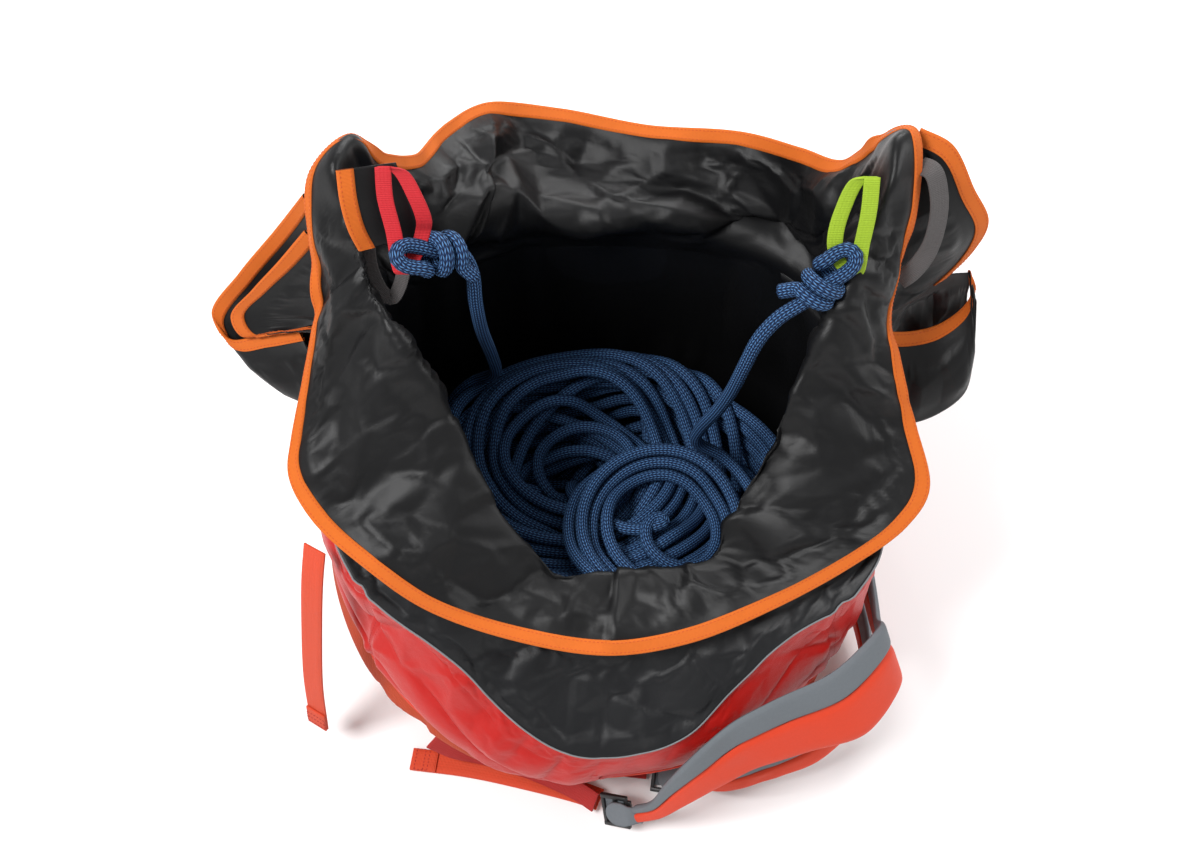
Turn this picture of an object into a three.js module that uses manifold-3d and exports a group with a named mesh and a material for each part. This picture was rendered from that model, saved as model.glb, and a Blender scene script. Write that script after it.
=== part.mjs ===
// Rope storage bag: a soft tub with a sewn-in tarp that opens as a funnel, two tie-in loops
// with a flaked rope knotted between them, shoulder straps with ladder locks, and compression straps.
// Millimetres, +Z up. The origin is the centre of the base on the floor; the shoulder straps face -Y.
import * as THREE from 'three';
import { mergeVertices } from 'three/addons/utils/BufferGeometryUtils.js';
import Module from 'manifold-3d';

const wasm = await Module();
wasm.setup();

// ---------------------------------------------------------------- driving dimensions
const GAP = 0.3; // clearance between pieces that touch
const SHELL_THICKNESS = 3; // coated shell fabric with its foam backing
const LINER_THICKNESS = 1.5;
const TARP_THICKNESS = 2;
const LINER_INSET = 5.5; // liner's outer face, measured in from the shell's outer face
const TARP_INSET = 12.5; // tarp's middle, measured in from the shell's outer face
const FLOOR_THICKNESS = 4;
const TARP_FOOT_HEIGHT = 10; // where the tarp ends under the rope
const BINDING_WIDTH = 12;
const BINDING_THICKNESS = 3;
const PIPING_HEIGHT = 5;
const ROPE_DIAMETER = 11;
const WEBBING_WIDTH = 20;
const WEBBING_THICKNESS = 2;
const LOOP_WIDTH = 11; // tie-in loops
const LEFT_HANDLE_WIDTH = 10;
const RIGHT_HANDLE_WIDTH = 15;
const STRAP_THICKNESS = 6; // padded shoulder strap
const TRIM_SHARE = 0.4; // share of the strap's width that the grey trim takes
const PILE_TOP = 140;
const COLUMNS = 48; // divisions round the bag, shared by every layer of its walls

// ---------------------------------------------------------------- the tub's form
// Smooth curve through [x, y] pairs, level beyond its ends.
function curveThrough(pairs) {
  const slope = (i) => {
    const before = pairs[Math.max(i - 1, 0)];
    const after = pairs[Math.min(i + 1, pairs.length - 1)];
    return (after[1] - before[1]) / (after[0] - before[0]);
  };
  return (x) => {
    if (x <= pairs[0][0]) return pairs[0][1];
    if (x >= pairs[pairs.length - 1][0]) return pairs[pairs.length - 1][1];
    const i = pairs.findIndex((pair) => pair[0] > x) - 1;
    const [x0, y0] = pairs[i];
    const [x1, y1] = pairs[i + 1];
    const span = x1 - x0;
    const t = (x - x0) / span;
    const rise = y1 - y0;
    const startSlope = slope(i) * span;
    const endSlope = slope(i + 1) * span;
    const cubic = startSlope + endSlope - 2 * rise;
    const square = 3 * rise - 2 * startSlope - endSlope;
    return y0 + t * (startSlope + t * (square + t * cubic));
  };
}

const halfWidthAt = curveThrough([[0, 205], [40, 226], [85, 235], [160, 231], [300, 212]]);
const frontDepthAt = curveThrough([
  [0, 165], [40, 205], [80, 224], [145, 228], [190, 207], [240, 192], [300, 186],
]);
const rearDepthAt = curveThrough([[0, 165], [40, 193], [85, 203], [160, 200], [300, 190]]);
const frontSquarenessAt = curveThrough([
  [0, 2.6], [60, 2.1], [200, 2.1], [230, 2.3], [272, 2.8], [300, 3],
]);
const REAR_SQUARENESS = 2.8;
const REAR_RIM = 300;
const frontRimHeightAt = curveThrough([
  [-212, 298], [-177, 272], [-117, 228], [-73, 182], [-20, 150], [18, 142],
  [60, 155], [93, 180], [124, 202], [180, 260], [212, 298],
]);

// Angles run round the plan from the front centre towards +X.
function tubPoint(angle, height, inset = 0) {
  const sine = Math.sin(angle);
  const cosine = Math.cos(angle);
  const atFront = cosine > 0;
  const halfWidth = halfWidthAt(height) - inset;
  const depth = (atFront ? frontDepthAt(height) : rearDepthAt(height)) - inset;
  const power = atFront ? frontSquarenessAt(height) : REAR_SQUARENESS;
  const sum = Math.abs(sine / halfWidth) ** power + Math.abs(cosine / depth) ** power;
  const radius = sum ** (-1 / power);
  return new THREE.Vector3(radius * sine, -radius * cosine, height);
}

function rimHeight(angle) {
  return Math.cos(angle) > 0 ? frontRimHeightAt(tubPoint(angle, 220).x) : REAR_RIM;
}

// The heavy base fabric reaches higher round the ends.
function baseTop(angle) {
  return 75 + 80 * Math.sin(angle) ** 2;
}

// Every layer bends at the same heights, so that nested layers stay clear of each other.
const baseLevels = (angle) => [0.3, 0.65, 1].map((share) => baseTop(angle) * share);
function wallLevels(angle, top) {
  return [1 / 3, 2 / 3, 1].map((share) => THREE.MathUtils.lerp(baseTop(angle), top, share));
}

// ---------------------------------------------------------------- solids from grids of points
function finish(positions, faces) {
  const geometry = new THREE.BufferGeometry();
  geometry.setAttribute('position', new THREE.Float32BufferAttribute(positions, 3));
  let volume = 0;
  const [a, b, c] = [new THREE.Vector3(), new THREE.Vector3(), new THREE.Vector3()];
  for (const face of faces) {
    [a, b, c].forEach((corner, k) => corner.fromArray(positions, 3 * face[k]));
    volume += a.dot(b.clone().cross(c));
  }
  const outward = volume > 0 ? faces : faces.map(([i, j, k]) => [i, k, j]);
  geometry.setIndex(outward.flat());
  geometry.computeVertexNormals();
  return geometry;
}

// A closed solid between two grids of points; a ring joins its last column to its first.
function slab(outer, inner, ring = false) {
  const columns = outer.length;
  const rows = outer[0].length;
  const positions = [];
  for (const grid of [outer, inner]) {
    for (const column of grid) column.forEach((point) => positions.push(...point.toArray()));
  }
  const faces = [];
  const quad = (p, q, r, s) => faces.push([p, q, r], [p, r, s]);
  const top = (i, j) => (i % columns) * rows + j;
  const under = (i, j) => columns * rows + top(i, j);
  const last = ring ? columns : columns - 1;
  for (let i = 0; i < last; i += 1) {
    for (let j = 0; j < rows - 1; j += 1) {
      quad(top(i, j), top(i + 1, j), top(i + 1, j + 1), top(i, j + 1));
      quad(under(i, j), under(i, j + 1), under(i + 1, j + 1), under(i + 1, j));
    }
    quad(top(i, 0), under(i, 0), under(i + 1, 0), top(i + 1, 0));
    quad(top(i, rows - 1), top(i + 1, rows - 1), under(i + 1, rows - 1), under(i, rows - 1));
  }
  for (let j = 0; !ring && j < rows - 1; j += 1) {
    quad(top(0, j), top(0, j + 1), under(0, j + 1), under(0, j));
    quad(top(last, j), under(last, j), under(last, j + 1), top(last, j + 1));
  }
  return finish(positions, faces);
}

// A sheet of even thickness whose middle follows a grid of points.
function sheet(grid, thickness, ring = false) {
  const columns = grid.length;
  const rows = grid[0].length;
  const near = (i) => (ring ? (i + columns) % columns : THREE.MathUtils.clamp(i, 0, columns - 1));
  const offsetGrid = (distance) => grid.map((column, i) => column.map((point, j) => {
    const across = grid[near(i + 1)][j].clone().sub(grid[near(i - 1)][j]);
    const along = column[Math.min(j + 1, rows - 1)].clone().sub(column[Math.max(j - 1, 0)]);
    const normal = across.cross(along).normalize();
    return point.clone().addScaledVector(normal, distance);
  }));
  return slab(offsetGrid(thickness / 2), offsetGrid(-thickness / 2), ring);
}

function centreOf(points) {
  return points.reduce((sum, point) => sum.add(point), new THREE.Vector3()).divideScalar(points.length);
}

// A solid skinned over rings of points, closed at each end by a centre point.
function bowl(rings) {
  const count = rings[0].length;
  const positions = [];
  for (const ring of rings) ring.forEach((point) => positions.push(...point.toArray()));
  positions.push(...centreOf(rings[0]).toArray(), ...centreOf(rings[rings.length - 1]).toArray());
  const first = rings.length * count;
  const faces = [];
  for (let j = 0; j < rings.length - 1; j += 1) {
    for (let i = 0; i < count; i += 1) {
      const next = (i + 1) % count;
      faces.push([j * count + i, j * count + next, (j + 1) * count + next]);
      faces.push([j * count + i, (j + 1) * count + next, (j + 1) * count + i]);
    }
  }
  const lastRing = (rings.length - 1) * count;
  for (let i = 0; i < count; i += 1) {
    const next = (i + 1) % count;
    faces.push([first, next, i], [first + 1, lastRing + i, lastRing + next]);
  }
  return finish(positions, faces);
}

// Leaves only positions, with the vertices that touch made one.
function merged(geometry) {
  geometry.deleteAttribute('normal');
  geometry.deleteAttribute('uv');
  return mergeVertices(geometry, 1e-4);
}

function manifoldOf(geometry) {
  const { attributes, index } = merged(geometry);
  const vertProperties = new Float32Array(attributes.position.array);
  const triVerts = new Uint32Array(index.array);
  return new wasm.Manifold(new wasm.Mesh({ numProp: 3, vertProperties, triVerts }));
}

// The first geometry with the others cut out of it.
function cut(geometry, tools) {
  const result = tools.reduce((solid, tool) => solid.subtract(manifoldOf(tool)), manifoldOf(geometry));
  const { numProp, vertProperties, triVerts } = result.getMesh();
  const corner = (vertex) => Array.from(vertProperties.slice(vertex * numProp, vertex * numProp + 3));
  const positions = Array.from(triVerts).flatMap(corner);
  const cutGeometry = new THREE.BufferGeometry();
  cutGeometry.setAttribute('position', new THREE.Float32BufferAttribute(positions, 3));
  return mergeVertices(cutGeometry, 1e-4);
}

const vectors = (points) => points.map((point) => new THREE.Vector3(...point));
const angles = (count) => Array.from({ length: count }, (_, i) => (i / count) * 2 * Math.PI);
const steps = (count) => Array.from({ length: count + 1 }, (_, i) => i / count);

function smooth(points, closed = false) {
  return new THREE.CatmullRomCurve3(vectors(points), closed, 'centripetal');
}

// A flat strap between two edge curves; shares cut it to part of its width.
function strap(edgeA, edgeB, thickness, divisions, from = 0, to = 1) {
  const curveA = smooth(edgeA);
  const curveB = smooth(edgeB);
  const grid = steps(divisions).map((t) => {
    const a = curveA.getPoint(t);
    const b = curveB.getPoint(t);
    return [from, (from + to) / 2, to].map((share) => a.clone().lerp(b, share));
  });
  return sheet(grid, thickness);
}

// A strap of even width along a centreline, its width lying across the given direction.
function webbing(points, width, thickness, divisions, facing) {
  const curve = smooth(points);
  const face = new THREE.Vector3(...facing).normalize();
  const grid = steps(divisions).map((t) => {
    const across = curve.getTangent(t).cross(face).normalize();
    const point = curve.getPoint(t);
    return [-0.5, 0, 0.5].map((share) => point.clone().addScaledVector(across, share * width));
  });
  return sheet(grid, thickness);
}

// A round rope along a curve.
function rod(points, diameter, divisions) {
  const section = new THREE.Shape();
  const sides = 8;
  for (let i = 0; i < sides; i += 1) {
    const turn = (i / sides) * 2 * Math.PI;
    const [x, y] = [(diameter / 2) * Math.cos(turn), (diameter / 2) * Math.sin(turn)];
    if (i === 0) section.moveTo(x, y);
    else section.lineTo(x, y);
  }
  section.closePath();
  const options = { steps: divisions, extrudePath: smooth(points), bevelEnabled: false };
  return merged(new THREE.ExtrudeGeometry(section, options));
}

// ---------------------------------------------------------------- the assembly
const bag = new THREE.Group();

function add(name, geometry, color, roughness = 0.8, metalness = 0) {
  const material = new THREE.MeshStandardMaterial({ color, roughness, metalness });
  const mesh = new THREE.Mesh(geometry, material);
  mesh.name = name;
  bag.add(mesh);
  return mesh;
}

const RED = 0xc81e28;
const CORAL = 0xe15037; // straps and webbing
const RUST = 0xbe4b2d; // base fabric
const BLACK = 0x18191b;
const ORANGE = 0xf07820;
const GREY = 0x737a80; // handles and strap trims
const ROPE_BLUE = 0x326eaf;

// ---- base tray: flat underneath, its fabric wrapped a little way up the walls
function addBasePanel() {
  const ringAt = (height, inset) => angles(COLUMNS).map((angle) => tubPoint(angle, height, inset));
  const wallAt = (level, inset) => angles(COLUMNS)
    .map((angle) => tubPoint(angle, baseLevels(angle)[level], inset));
  const floorEdge = ringAt(0, 0);
  const innerFloor = ringAt(FLOOR_THICKNESS, SHELL_THICKNESS);
  const outerWall = [0, 1, 2].map((level) => wallAt(level, 0));
  const innerWall = [2, 1, 0].map((level) => wallAt(level, SHELL_THICKNESS));
  add('base_panel', bowl([floorEdge, ...outerWall, ...innerWall, innerFloor]), RUST, 0.9);
}

// ---- wall panels between the base tray and the rim
const PANELS = [
  { name: 'front_panel', from: -52.5, to: 52.5 },
  { name: 'right_end_panel', from: 52.5, to: 127.5 },
  { name: 'rear_panel', from: 127.5, to: 232.5 },
  { name: 'left_end_panel', from: 232.5, to: 307.5 },
];
const SEAM_ANGLE = 0.05; // degrees left open at each side of a seam

function addPanel({ name, from, to }) {
  const divisions = Math.round(((to - from) / 360) * COLUMNS);
  const face = (inset) => steps(divisions).map((t) => {
    const degrees = THREE.MathUtils.clamp(from + t * (to - from), from + SEAM_ANGLE, to - SEAM_ANGLE);
    const angle = THREE.MathUtils.degToRad(degrees);
    const heights = [baseTop(angle) + GAP, ...wallLevels(angle, rimHeight(angle))];
    return heights.map((height) => tubPoint(angle, height, inset));
  });
  add(name, slab(face(0), face(SHELL_THICKNESS)), RED, 0.45);
}

function addRimPiping() {
  const column = (inset) => angles(COLUMNS).map((angle) => {
    const height = rimHeight(angle) + GAP;
    const foot = tubPoint(angle, height, inset);
    return [foot, foot.clone().setZ(height + PIPING_HEIGHT)];
  });
  add('rim_piping', slab(column(-0.5), column(SHELL_THICKNESS + 1), true), 0xd8452f, 0.8);
}

// ---- tarp: ridge and edge run round the mouth through matching stations, from the front
// centre towards +X. The hands' grips are the two high points, where the cloth is drawn up.
const STATIONS = [
  // ridge, edge
  [[14, -112, 250], [8, -176, 232]],
  [[50, -111, 251], [70, -168, 238]],
  [[82, -107, 256], [131, -149, 256]],
  [[97, -88, 274], [188, -128, 286]],
  [[110, -68, 295], [230, -103, 304]],
  [[126, -48, 325], [249, -76, 314]],
  [[144, -26, 360], [241, -33, 334]],
  [[162, -4, 395], [230, -9, 357]],
  [[178, 17, 430], [219, 22, 388]],
  [[191, 42, 472], [220, 45, 424]],
  [[203, 66, 505], [225, 62, 468]],
  [[204, 90, 512], [222, 102, 497]],
  [[194, 112, 455], [204, 132, 462]],
  [[176, 126, 385], [187, 158, 422]],
  [[138, 148, 340], [162, 190, 402]],
  [[98, 164, 325], [117, 227, 383]],
  [[40, 174, 316], [43, 246, 371]],
  [[-30, 176, 316], [-34, 266, 371]],
  [[-84, 168, 324], [-94, 262, 382]],
  [[-120, 152, 345], [-126, 222, 398]],
  [[-142, 130, 390], [-142, 168, 420]],
  [[-158, 108, 450], [-156, 126, 462]],
  [[-172, 88, 508], [-178, 102, 500]],
  [[-181, 66, 514], [-204, 79, 492]],
  [[-176, 44, 485], [-211, 56, 452]],
  [[-166, 20, 456], [-212, 30, 404]],
  [[-155, 2, 428], [-225, -4, 360]],
  [[-140, -12, 398], [-234, -39, 334]],
  [[-120, -26, 360], [-236, -66, 318]],
  [[-102, -46, 330], [-217, -97, 304]],
  [[-84, -72, 300], [-175, -131, 290]],
  [[-62, -96, 270], [-131, -152, 262]],
  [[-28, -110, 252], [-62, -169, 242]],
];
const RIDGE = smooth(STATIONS.map((station) => station[0]), true);
const EDGE = smooth(STATIONS.map((station) => station[1]), true);
const LEAVE_DEPTH = 20; // how far below the rim the tarp leaves the wall, and as much again at the front
const FLAP_ROWS = 6;
const SEAM_GAP = 3;
const PANEL_CUT = 0.06; // of a column, left open at each side of a cut

// Where along the ridge's curve a plan angle lies.
function ridgeTime(angle) {
  const turnOf = (point) => Math.atan2(point.x, -point.y);
  const start = turnOf(RIDGE.getPoint(0));
  const unwound = (turn) => THREE.MathUtils.euclideanModulo(turn - start, 2 * Math.PI);
  const target = unwound(angle);
  let [low, high] = [0, 1];
  for (let i = 0; i < 24; i += 1) {
    const middle = (low + high) / 2;
    if (unwound(turnOf(RIDGE.getPoint(middle))) < target) low = middle;
    else high = middle;
  }
  return low;
}

// The funnel is cut at the grips and between them, so that no piece bends round the mouth.
const TARP_PANELS = [
  { name: 'tarp_front', from: -7, to: 7 },
  { name: 'tarp_right', from: 7, to: 15 },
  { name: 'tarp_rear', from: 15, to: 33 },
  { name: 'tarp_left', from: 33, to: 41 },
]; // in columns from the front centre

function tarpColumn(angle) {
  const time = ridgeTime(angle);
  const ridge = RIDGE.getPoint(time);
  const edge = EDGE.getPoint(time);
  const leave = rimHeight(angle) - LEAVE_DEPTH * (1 + Math.max(0, Math.cos(angle)));
  const wall = [...baseLevels(angle), ...wallLevels(angle, leave)];
  const inside = wall.map((height) => tubPoint(angle, height, TARP_INSET));
  const foot = tubPoint(angle, TARP_FOOT_HEIGHT, TARP_INSET + 12);
  const flap = ridge.clone().lerp(edge, 0.5).add(new THREE.Vector3(0, 0, 4));
  const wallTop = inside[inside.length - 1];
  const fall = new THREE.CatmullRomCurve3([wallTop, ridge, flap, edge], false, 'centripetal');
  const length = fall.getLength();
  const [first, last] = [SEAM_GAP / length, 1 - (BINDING_WIDTH + SEAM_GAP) / length];
  const funnel = steps(FLAP_ROWS).map((t) => fall.getPointAt(THREE.MathUtils.lerp(first, last, t)));
  const hem = [fall.getPointAt(1 - BINDING_WIDTH / length), edge];
  return { lining: [foot, ...inside], funnel, hem };
}

function addTarp() {
  const columns = angles(COLUMNS).map(tarpColumn);
  add('tarp_lining', sheet(columns.map((column) => column.lining), TARP_THICKNESS, true), BLACK, 0.35);
  add('tarp_binding', sheet(columns.map((column) => column.hem), BINDING_THICKNESS, true), ORANGE, 0.85);
  const funnelAt = (position) => {
    const low = Math.floor(position);
    const [a, b] = [low, low + 1].map((i) => columns[(i + COLUMNS) % COLUMNS].funnel);
    return a.map((point, row) => point.clone().lerp(b[row], position - low));
  };
  for (const { name, from, to } of TARP_PANELS) {
    const places = steps(to - from).map((t) => from + t * (to - from));
    places[0] += PANEL_CUT;
    places[places.length - 1] -= PANEL_CUT;
    add(name, sheet(places.map(funnelAt), TARP_THICKNESS), BLACK, 0.35);
  }
}

// ---- liner: floor, walls and the loose skirt that shows between the rim and the tarp's edge
function addLiner() {
  const column = (angle, inset, lift) => {
    const top = rimHeight(angle);
    const heights = [...baseLevels(angle), ...wallLevels(angle, top)];
    const floor = tubPoint(angle, FLOOR_THICKNESS + GAP + lift, inset + 4);
    return [floor, ...heights.map((height) => tubPoint(angle, height, inset))];
  };
  const layer = (inset, lift) => angles(COLUMNS).map((angle) => column(angle, inset, lift));
  const outside = layer(LINER_INSET, 0);
  const inside = layer(LINER_INSET + LINER_THICKNESS, LINER_THICKNESS);
  const rows = outside[0].map((_, row) => row);
  const ring = (grid, row) => grid.map((points) => points[row]);
  const outerRings = rows.map((row) => ring(outside, row));
  const innerRings = rows.map((row) => ring(inside, row)).reverse();
  add('liner', bowl([...outerRings, ...innerRings]), BLACK, 0.6);
}

// The skirt is sewn above the rim and reaches in under the tarp's flap.
const SKIRT_REACH = 0.55;

function addSkirt() {
  const columns = steps(28).map((t) => {
    const angle = THREE.MathUtils.degToRad(THREE.MathUtils.lerp(-105, 105, t));
    const foot = tubPoint(angle, rimHeight(angle) + 2.5, LINER_INSET + 0.5);
    const head = foot.clone().lerp(RIDGE.getPoint(ridgeTime(angle)), SKIRT_REACH);
    return [foot, foot.clone().lerp(head, 0.5), head];
  });
  add('front_skirt', sheet(columns, LINER_THICKNESS), 0x26292d, 0.6);
}

// ---- folds of the tarp that flop outside the grips
const RIGHT_FOLD_EDGE = [
  [228, 112, 500], [250, 102, 496], [272, 92, 462], [288, 88, 430], [288, 86, 395],
  [296, 86, 364], [292, 77, 340], [273, 69, 325], [250, 65, 322],
];
const RIGHT_FOLD_ROOT = [
  [234, 98, 474], [240, 88, 452], [240, 80, 428], [238, 72, 400], [240, 62, 365],
  [242, 42, 322], [246, 32, 290], [242, 20, 272], [234, 14, 268],
];
const LEFT_FOLD_EDGE = [
  [-222, 106, 440], [-254, 112, 392], [-290, 104, 350], [-320, 90, 312], [-306, 74, 300],
  [-278, 72, 308], [-246, 72, 318],
];
const LEFT_FOLD_ROOT = [
  [-222, 84, 392], [-232, 80, 350], [-246, 72, 310], [-262, 52, 272], [-256, 40, 258],
  [-244, 30, 262], [-234, 26, 280],
];

function addFold(name, edgePoints, rootPoints) {
  const edge = smooth(edgePoints);
  const root = smooth(rootPoints);
  const cloth = [];
  const binding = [];
  for (const t of steps(16)) {
    const top = edge.getPoint(t);
    const foot = root.getPoint(t);
    const span = top.distanceTo(foot);
    const seam = Math.min(0.5, BINDING_WIDTH / span);
    const start = seam + (4 * SEAM_GAP) / span;
    cloth.push(steps(3).map((share) => top.clone().lerp(foot, THREE.MathUtils.lerp(start, 1, share))));
    binding.push([top, top.clone().lerp(foot, seam)]);
  }
  add(name, sheet(cloth, TARP_THICKNESS), BLACK, 0.35);
  add(`${name}_binding`, sheet(binding, BINDING_THICKNESS), ORANGE, 0.85);
}

// ---- grips: webbing handles, the folded tab at the left grip and the coloured tie-in loops
function addGrips() {
  const leftHandle = [
    [-166, 50, 456], [-166, 40, 438], [-160, 31, 420], [-153, 28, 414], [-146, 32, 424], [-140, 41, 444],
  ];
  const rightHandle = [
    [232, 90, 486], [242, 79, 494], [250, 68, 480], [252, 60, 458], [249, 53, 438], [240, 45, 424],
  ];
  const left = webbing(leftHandle, LEFT_HANDLE_WIDTH, WEBBING_THICKNESS, 14, [0, -0.53, 0.85]);
  const right = webbing(rightHandle, RIGHT_HANDLE_WIDTH, WEBBING_THICKNESS, 14, [0.3, -0.6, 0.74]);
  add('left_handle', left, GREY, 0.9);
  add('right_handle', right, GREY, 0.9);
  const tabHem = [[-174, 57, 522], [-171, 47, 499], [-166, 40, 477], [-160, 37, 460]];
  const tabRoot = [[-140, 68, 514], [-134, 60, 494], [-130, 54, 474], [-130, 48, 460]];
  add('left_grip_tab', strap(tabHem, tabRoot, TARP_THICKNESS, 6, 0.3, 1), BLACK, 0.35);
  add('left_grip_tab_binding', strap(tabHem, tabRoot, BINDING_THICKNESS, 6, 0, 0.28), ORANGE, 0.85);
  const redLoop = [
    [-147, 57, 521], [-147, 46, 503], [-143, 34, 482], [-138, 16, 458], [-130, 30, 462], [-124, 41, 474],
    [-122, 41, 486], [-126, 46, 502], [-136, 56, 518],
  ];
  const greenLoop = [
    [186, 57, 511], [186, 45, 490], [184, 35, 468], [181, 24, 447], [175, 27, 448], [168, 33, 456],
    [165, 38, 470], [168, 47, 488], [177, 57, 508],
  ];
  add('red_tie_in_loop', closedBand(redLoop, LOOP_WIDTH), 0xd71e2d, 0.85);
  add('green_tie_in_loop', closedBand(greenLoop, LOOP_WIDTH), 0xa5cd32, 0.85);
}

// A webbing loop sewn end to end; its width lies across X.
function closedBand(points, width) {
  const curve = smooth(points, true);
  const grid = steps(20).slice(0, -1).map((t) => {
    const point = curve.getPoint(t);
    return [-0.5, 0.5].map((share) => point.clone().add(new THREE.Vector3(share * width, 0, 0)));
  });
  return sheet(grid, WEBBING_THICKNESS, true);
}

// ---- rope: a flaked pile with a run up to the knot at each tie-in loop
const LEFT_RUN = [
  [-97, 44, 447], [-94, 42, 430], [-94, 42, 392], [-94, 55, 338], [-92, 75, 280], [-93, 95, 220],
  [-98, 111, 175], [-113, 114, 154], [-134, 107, 148],
];
const RIGHT_RUN = [
  [146, 14, 425], [131, 12, 413], [118, 8, 392], [110, 6, 360], [104, 10, 320], [96, 17, 280],
  [85, 27, 236], [73, 34, 198], [71, 36, 172], [82, 32, 156], [104, 30, 150], [130, 36, 148],
];

function knot(centre, radii) {
  const geometry = new THREE.SphereGeometry(1, 12, 8);
  geometry.scale(...radii);
  geometry.translate(...centre);
  return merged(geometry);
}

function addRope() {
  const ring = (height, inset) => angles(36).map((angle) => tubPoint(angle, height, inset));
  const rings = [ring(14, 42), ring(40, 28), ring(75, 26), ring(100, 40)];
  const crown = [[0.82, 118], [0.55, 132], [0.25, PILE_TOP]];
  for (const [share, height] of crown) {
    rings.push(ring(100, 40).map((point) => point.multiplyScalar(share).setZ(height)));
  }
  add('rope_pile', bowl(rings), 0x1f3a66, 0.8);
  add('rope_left_run', rod(LEFT_RUN, ROPE_DIAMETER, 22), ROPE_BLUE, 0.8);
  add('rope_right_run', rod(RIGHT_RUN, ROPE_DIAMETER, 26), ROPE_BLUE, 0.8);
  add('rope_left_knot', knot([-104, 30, 457], [9, 12, 9]), ROPE_BLUE, 0.8);
  add('rope_right_knot', knot([157, 20, 434], [9, 12, 10]), ROPE_BLUE, 0.8);
}

// ---- shoulder straps: two edges of each padded strap, from the right end round the front
const UPPER_TOP_EDGE = [
  [238, -36, 134], [240, -78, 130], [233, -112, 158], [226, -136, 192], [186, -173, 188], [132, -198, 186],
  [98, -215, 176], [70, -233, 148], [53, -239, 105], [42, -242, 66], [29, -238, 41],
];
const UPPER_LOW_EDGE = [
  [241, -38, 78], [248, -84, 74], [252, -126, 90], [254, -158, 124], [222, -200, 122], [172, -217, 126],
  [132, -229, 124], [100, -240, 110], [72, -248, 82], [53, -250, 52], [34, -247, 27],
];
const LOWER_TOP_EDGE = [
  [240, -36, 64], [247, -75, 60], [240, -118, 72], [214, -156, 96], [184, -180, 92],
  [156, -196, 88], [128, -205, 78], [104, -208, 58], [90, -205, 36], [80, -198, 21],
];
const LOWER_LOW_EDGE = [
  [241, -38, 18], [248, -86, 14], [244, -136, 28], [220, -176, 52], [188, -202, 52],
  [156, -213, 50], [130, -219, 40], [110, -219, 26], [96, -214, 14], [82, -206, 8],
];
const PAD_DIVISIONS = 22;

function addShoulderStrap(name, topEdge, lowEdge) {
  const trim = strap(topEdge, lowEdge, STRAP_THICKNESS, PAD_DIVISIONS, 0, TRIM_SHARE - 0.015);
  add(`${name}_strap_trim`, trim, GREY, 0.9);
  const pad = strap(topEdge, lowEdge, STRAP_THICKNESS, PAD_DIVISIONS, TRIM_SHARE, 1);
  add(`${name}_strap_pad`, pad, CORAL, 0.7);
}

// ---- ladder locks: a frame with a slot at each side of its middle bar
const LOCK_LENGTH = 26;
const LOCK_WIDTH = 32;
const LOCK_THICKNESS = 4;
const SLOT_LENGTH = 6;
const SLOT_WIDTH = WEBBING_WIDTH + 2;

function lockFrame(centre, along, across) {
  const slots = [-1, 1].map((side) => {
    const slot = new THREE.BoxGeometry(SLOT_LENGTH, SLOT_WIDTH, LOCK_THICKNESS * 2);
    return slot.translate(side * (LOCK_LENGTH / 4), 0, 0);
  });
  const frame = cut(new THREE.BoxGeometry(LOCK_LENGTH, LOCK_WIDTH, LOCK_THICKNESS), slots);
  return frame.applyMatrix4(placing(centre, along, across));
}

// The short turn of webbing over the middle bar, lying on the lock's face.
function lockTurn(centre, along, across) {
  const geometry = new THREE.BoxGeometry(LOCK_LENGTH - 4, WEBBING_WIDTH, WEBBING_THICKNESS);
  geometry.translate(0, 0, LOCK_THICKNESS / 2 + WEBBING_THICKNESS / 2 + GAP);
  geometry.applyMatrix4(placing(centre, along, across));
  return merged(geometry);
}

function placing(centre, along, across) {
  const x = new THREE.Vector3(...along).normalize();
  const z = x.clone().cross(new THREE.Vector3(...across)).normalize();
  const y = z.clone().cross(x);
  return new THREE.Matrix4().makeBasis(x, y, z).setPosition(new THREE.Vector3(...centre));
}

function addLocks() {
  const upper = [[14, -237, 25], [-0.87, 0.28, -0.4], [-0.2, 0.66, 0.72]];
  const lower = [[60, -201, 10], [-0.97, 0.2, -0.1], [-0.15, 0.82, 0.35]];
  add('upper_lock', lockFrame(...upper), 0x141414, 0.5);
  add('upper_lock_webbing', lockTurn(...upper), CORAL, 0.85);
  add('lower_lock', lockFrame(...lower), 0x141414, 0.5);
  add('lower_lock_webbing', lockTurn(...lower), CORAL, 0.85);
}

// ---- webbing from each lock to the base's seam, and the upper one's loose tail
function addStrapWebbings() {
  const upper = [
    [-4, -228, 17], [-18, -218, 15], [-40, -207, 15], [-72, -194, 15], [-106, -185, 18],
    [-130, -184, 30], [-149, -180, 44],
  ];
  const tail = [[0, -222, 6], [-18, -215, 4], [-63, -203, 3], [-118, -191, 3], [-172, -184, 3]];
  const lower = [[43, -193, 5], [20, -190, 4], [-10, -186, 4], [-34, -182, 5]];
  const addWebbing = (name, points, divisions, facing) => {
    add(name, webbing(points, WEBBING_WIDTH, WEBBING_THICKNESS, divisions, facing), CORAL, 0.85);
  };
  addWebbing('upper_strap_webbing', upper, 16, [-0.2, -0.75, 0.63]);
  addWebbing('upper_strap_tail', tail, 12, [0, 0, 1]);
  addWebbing('lower_strap_webbing', lower, 8, [0, 0, 1]);
}

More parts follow.
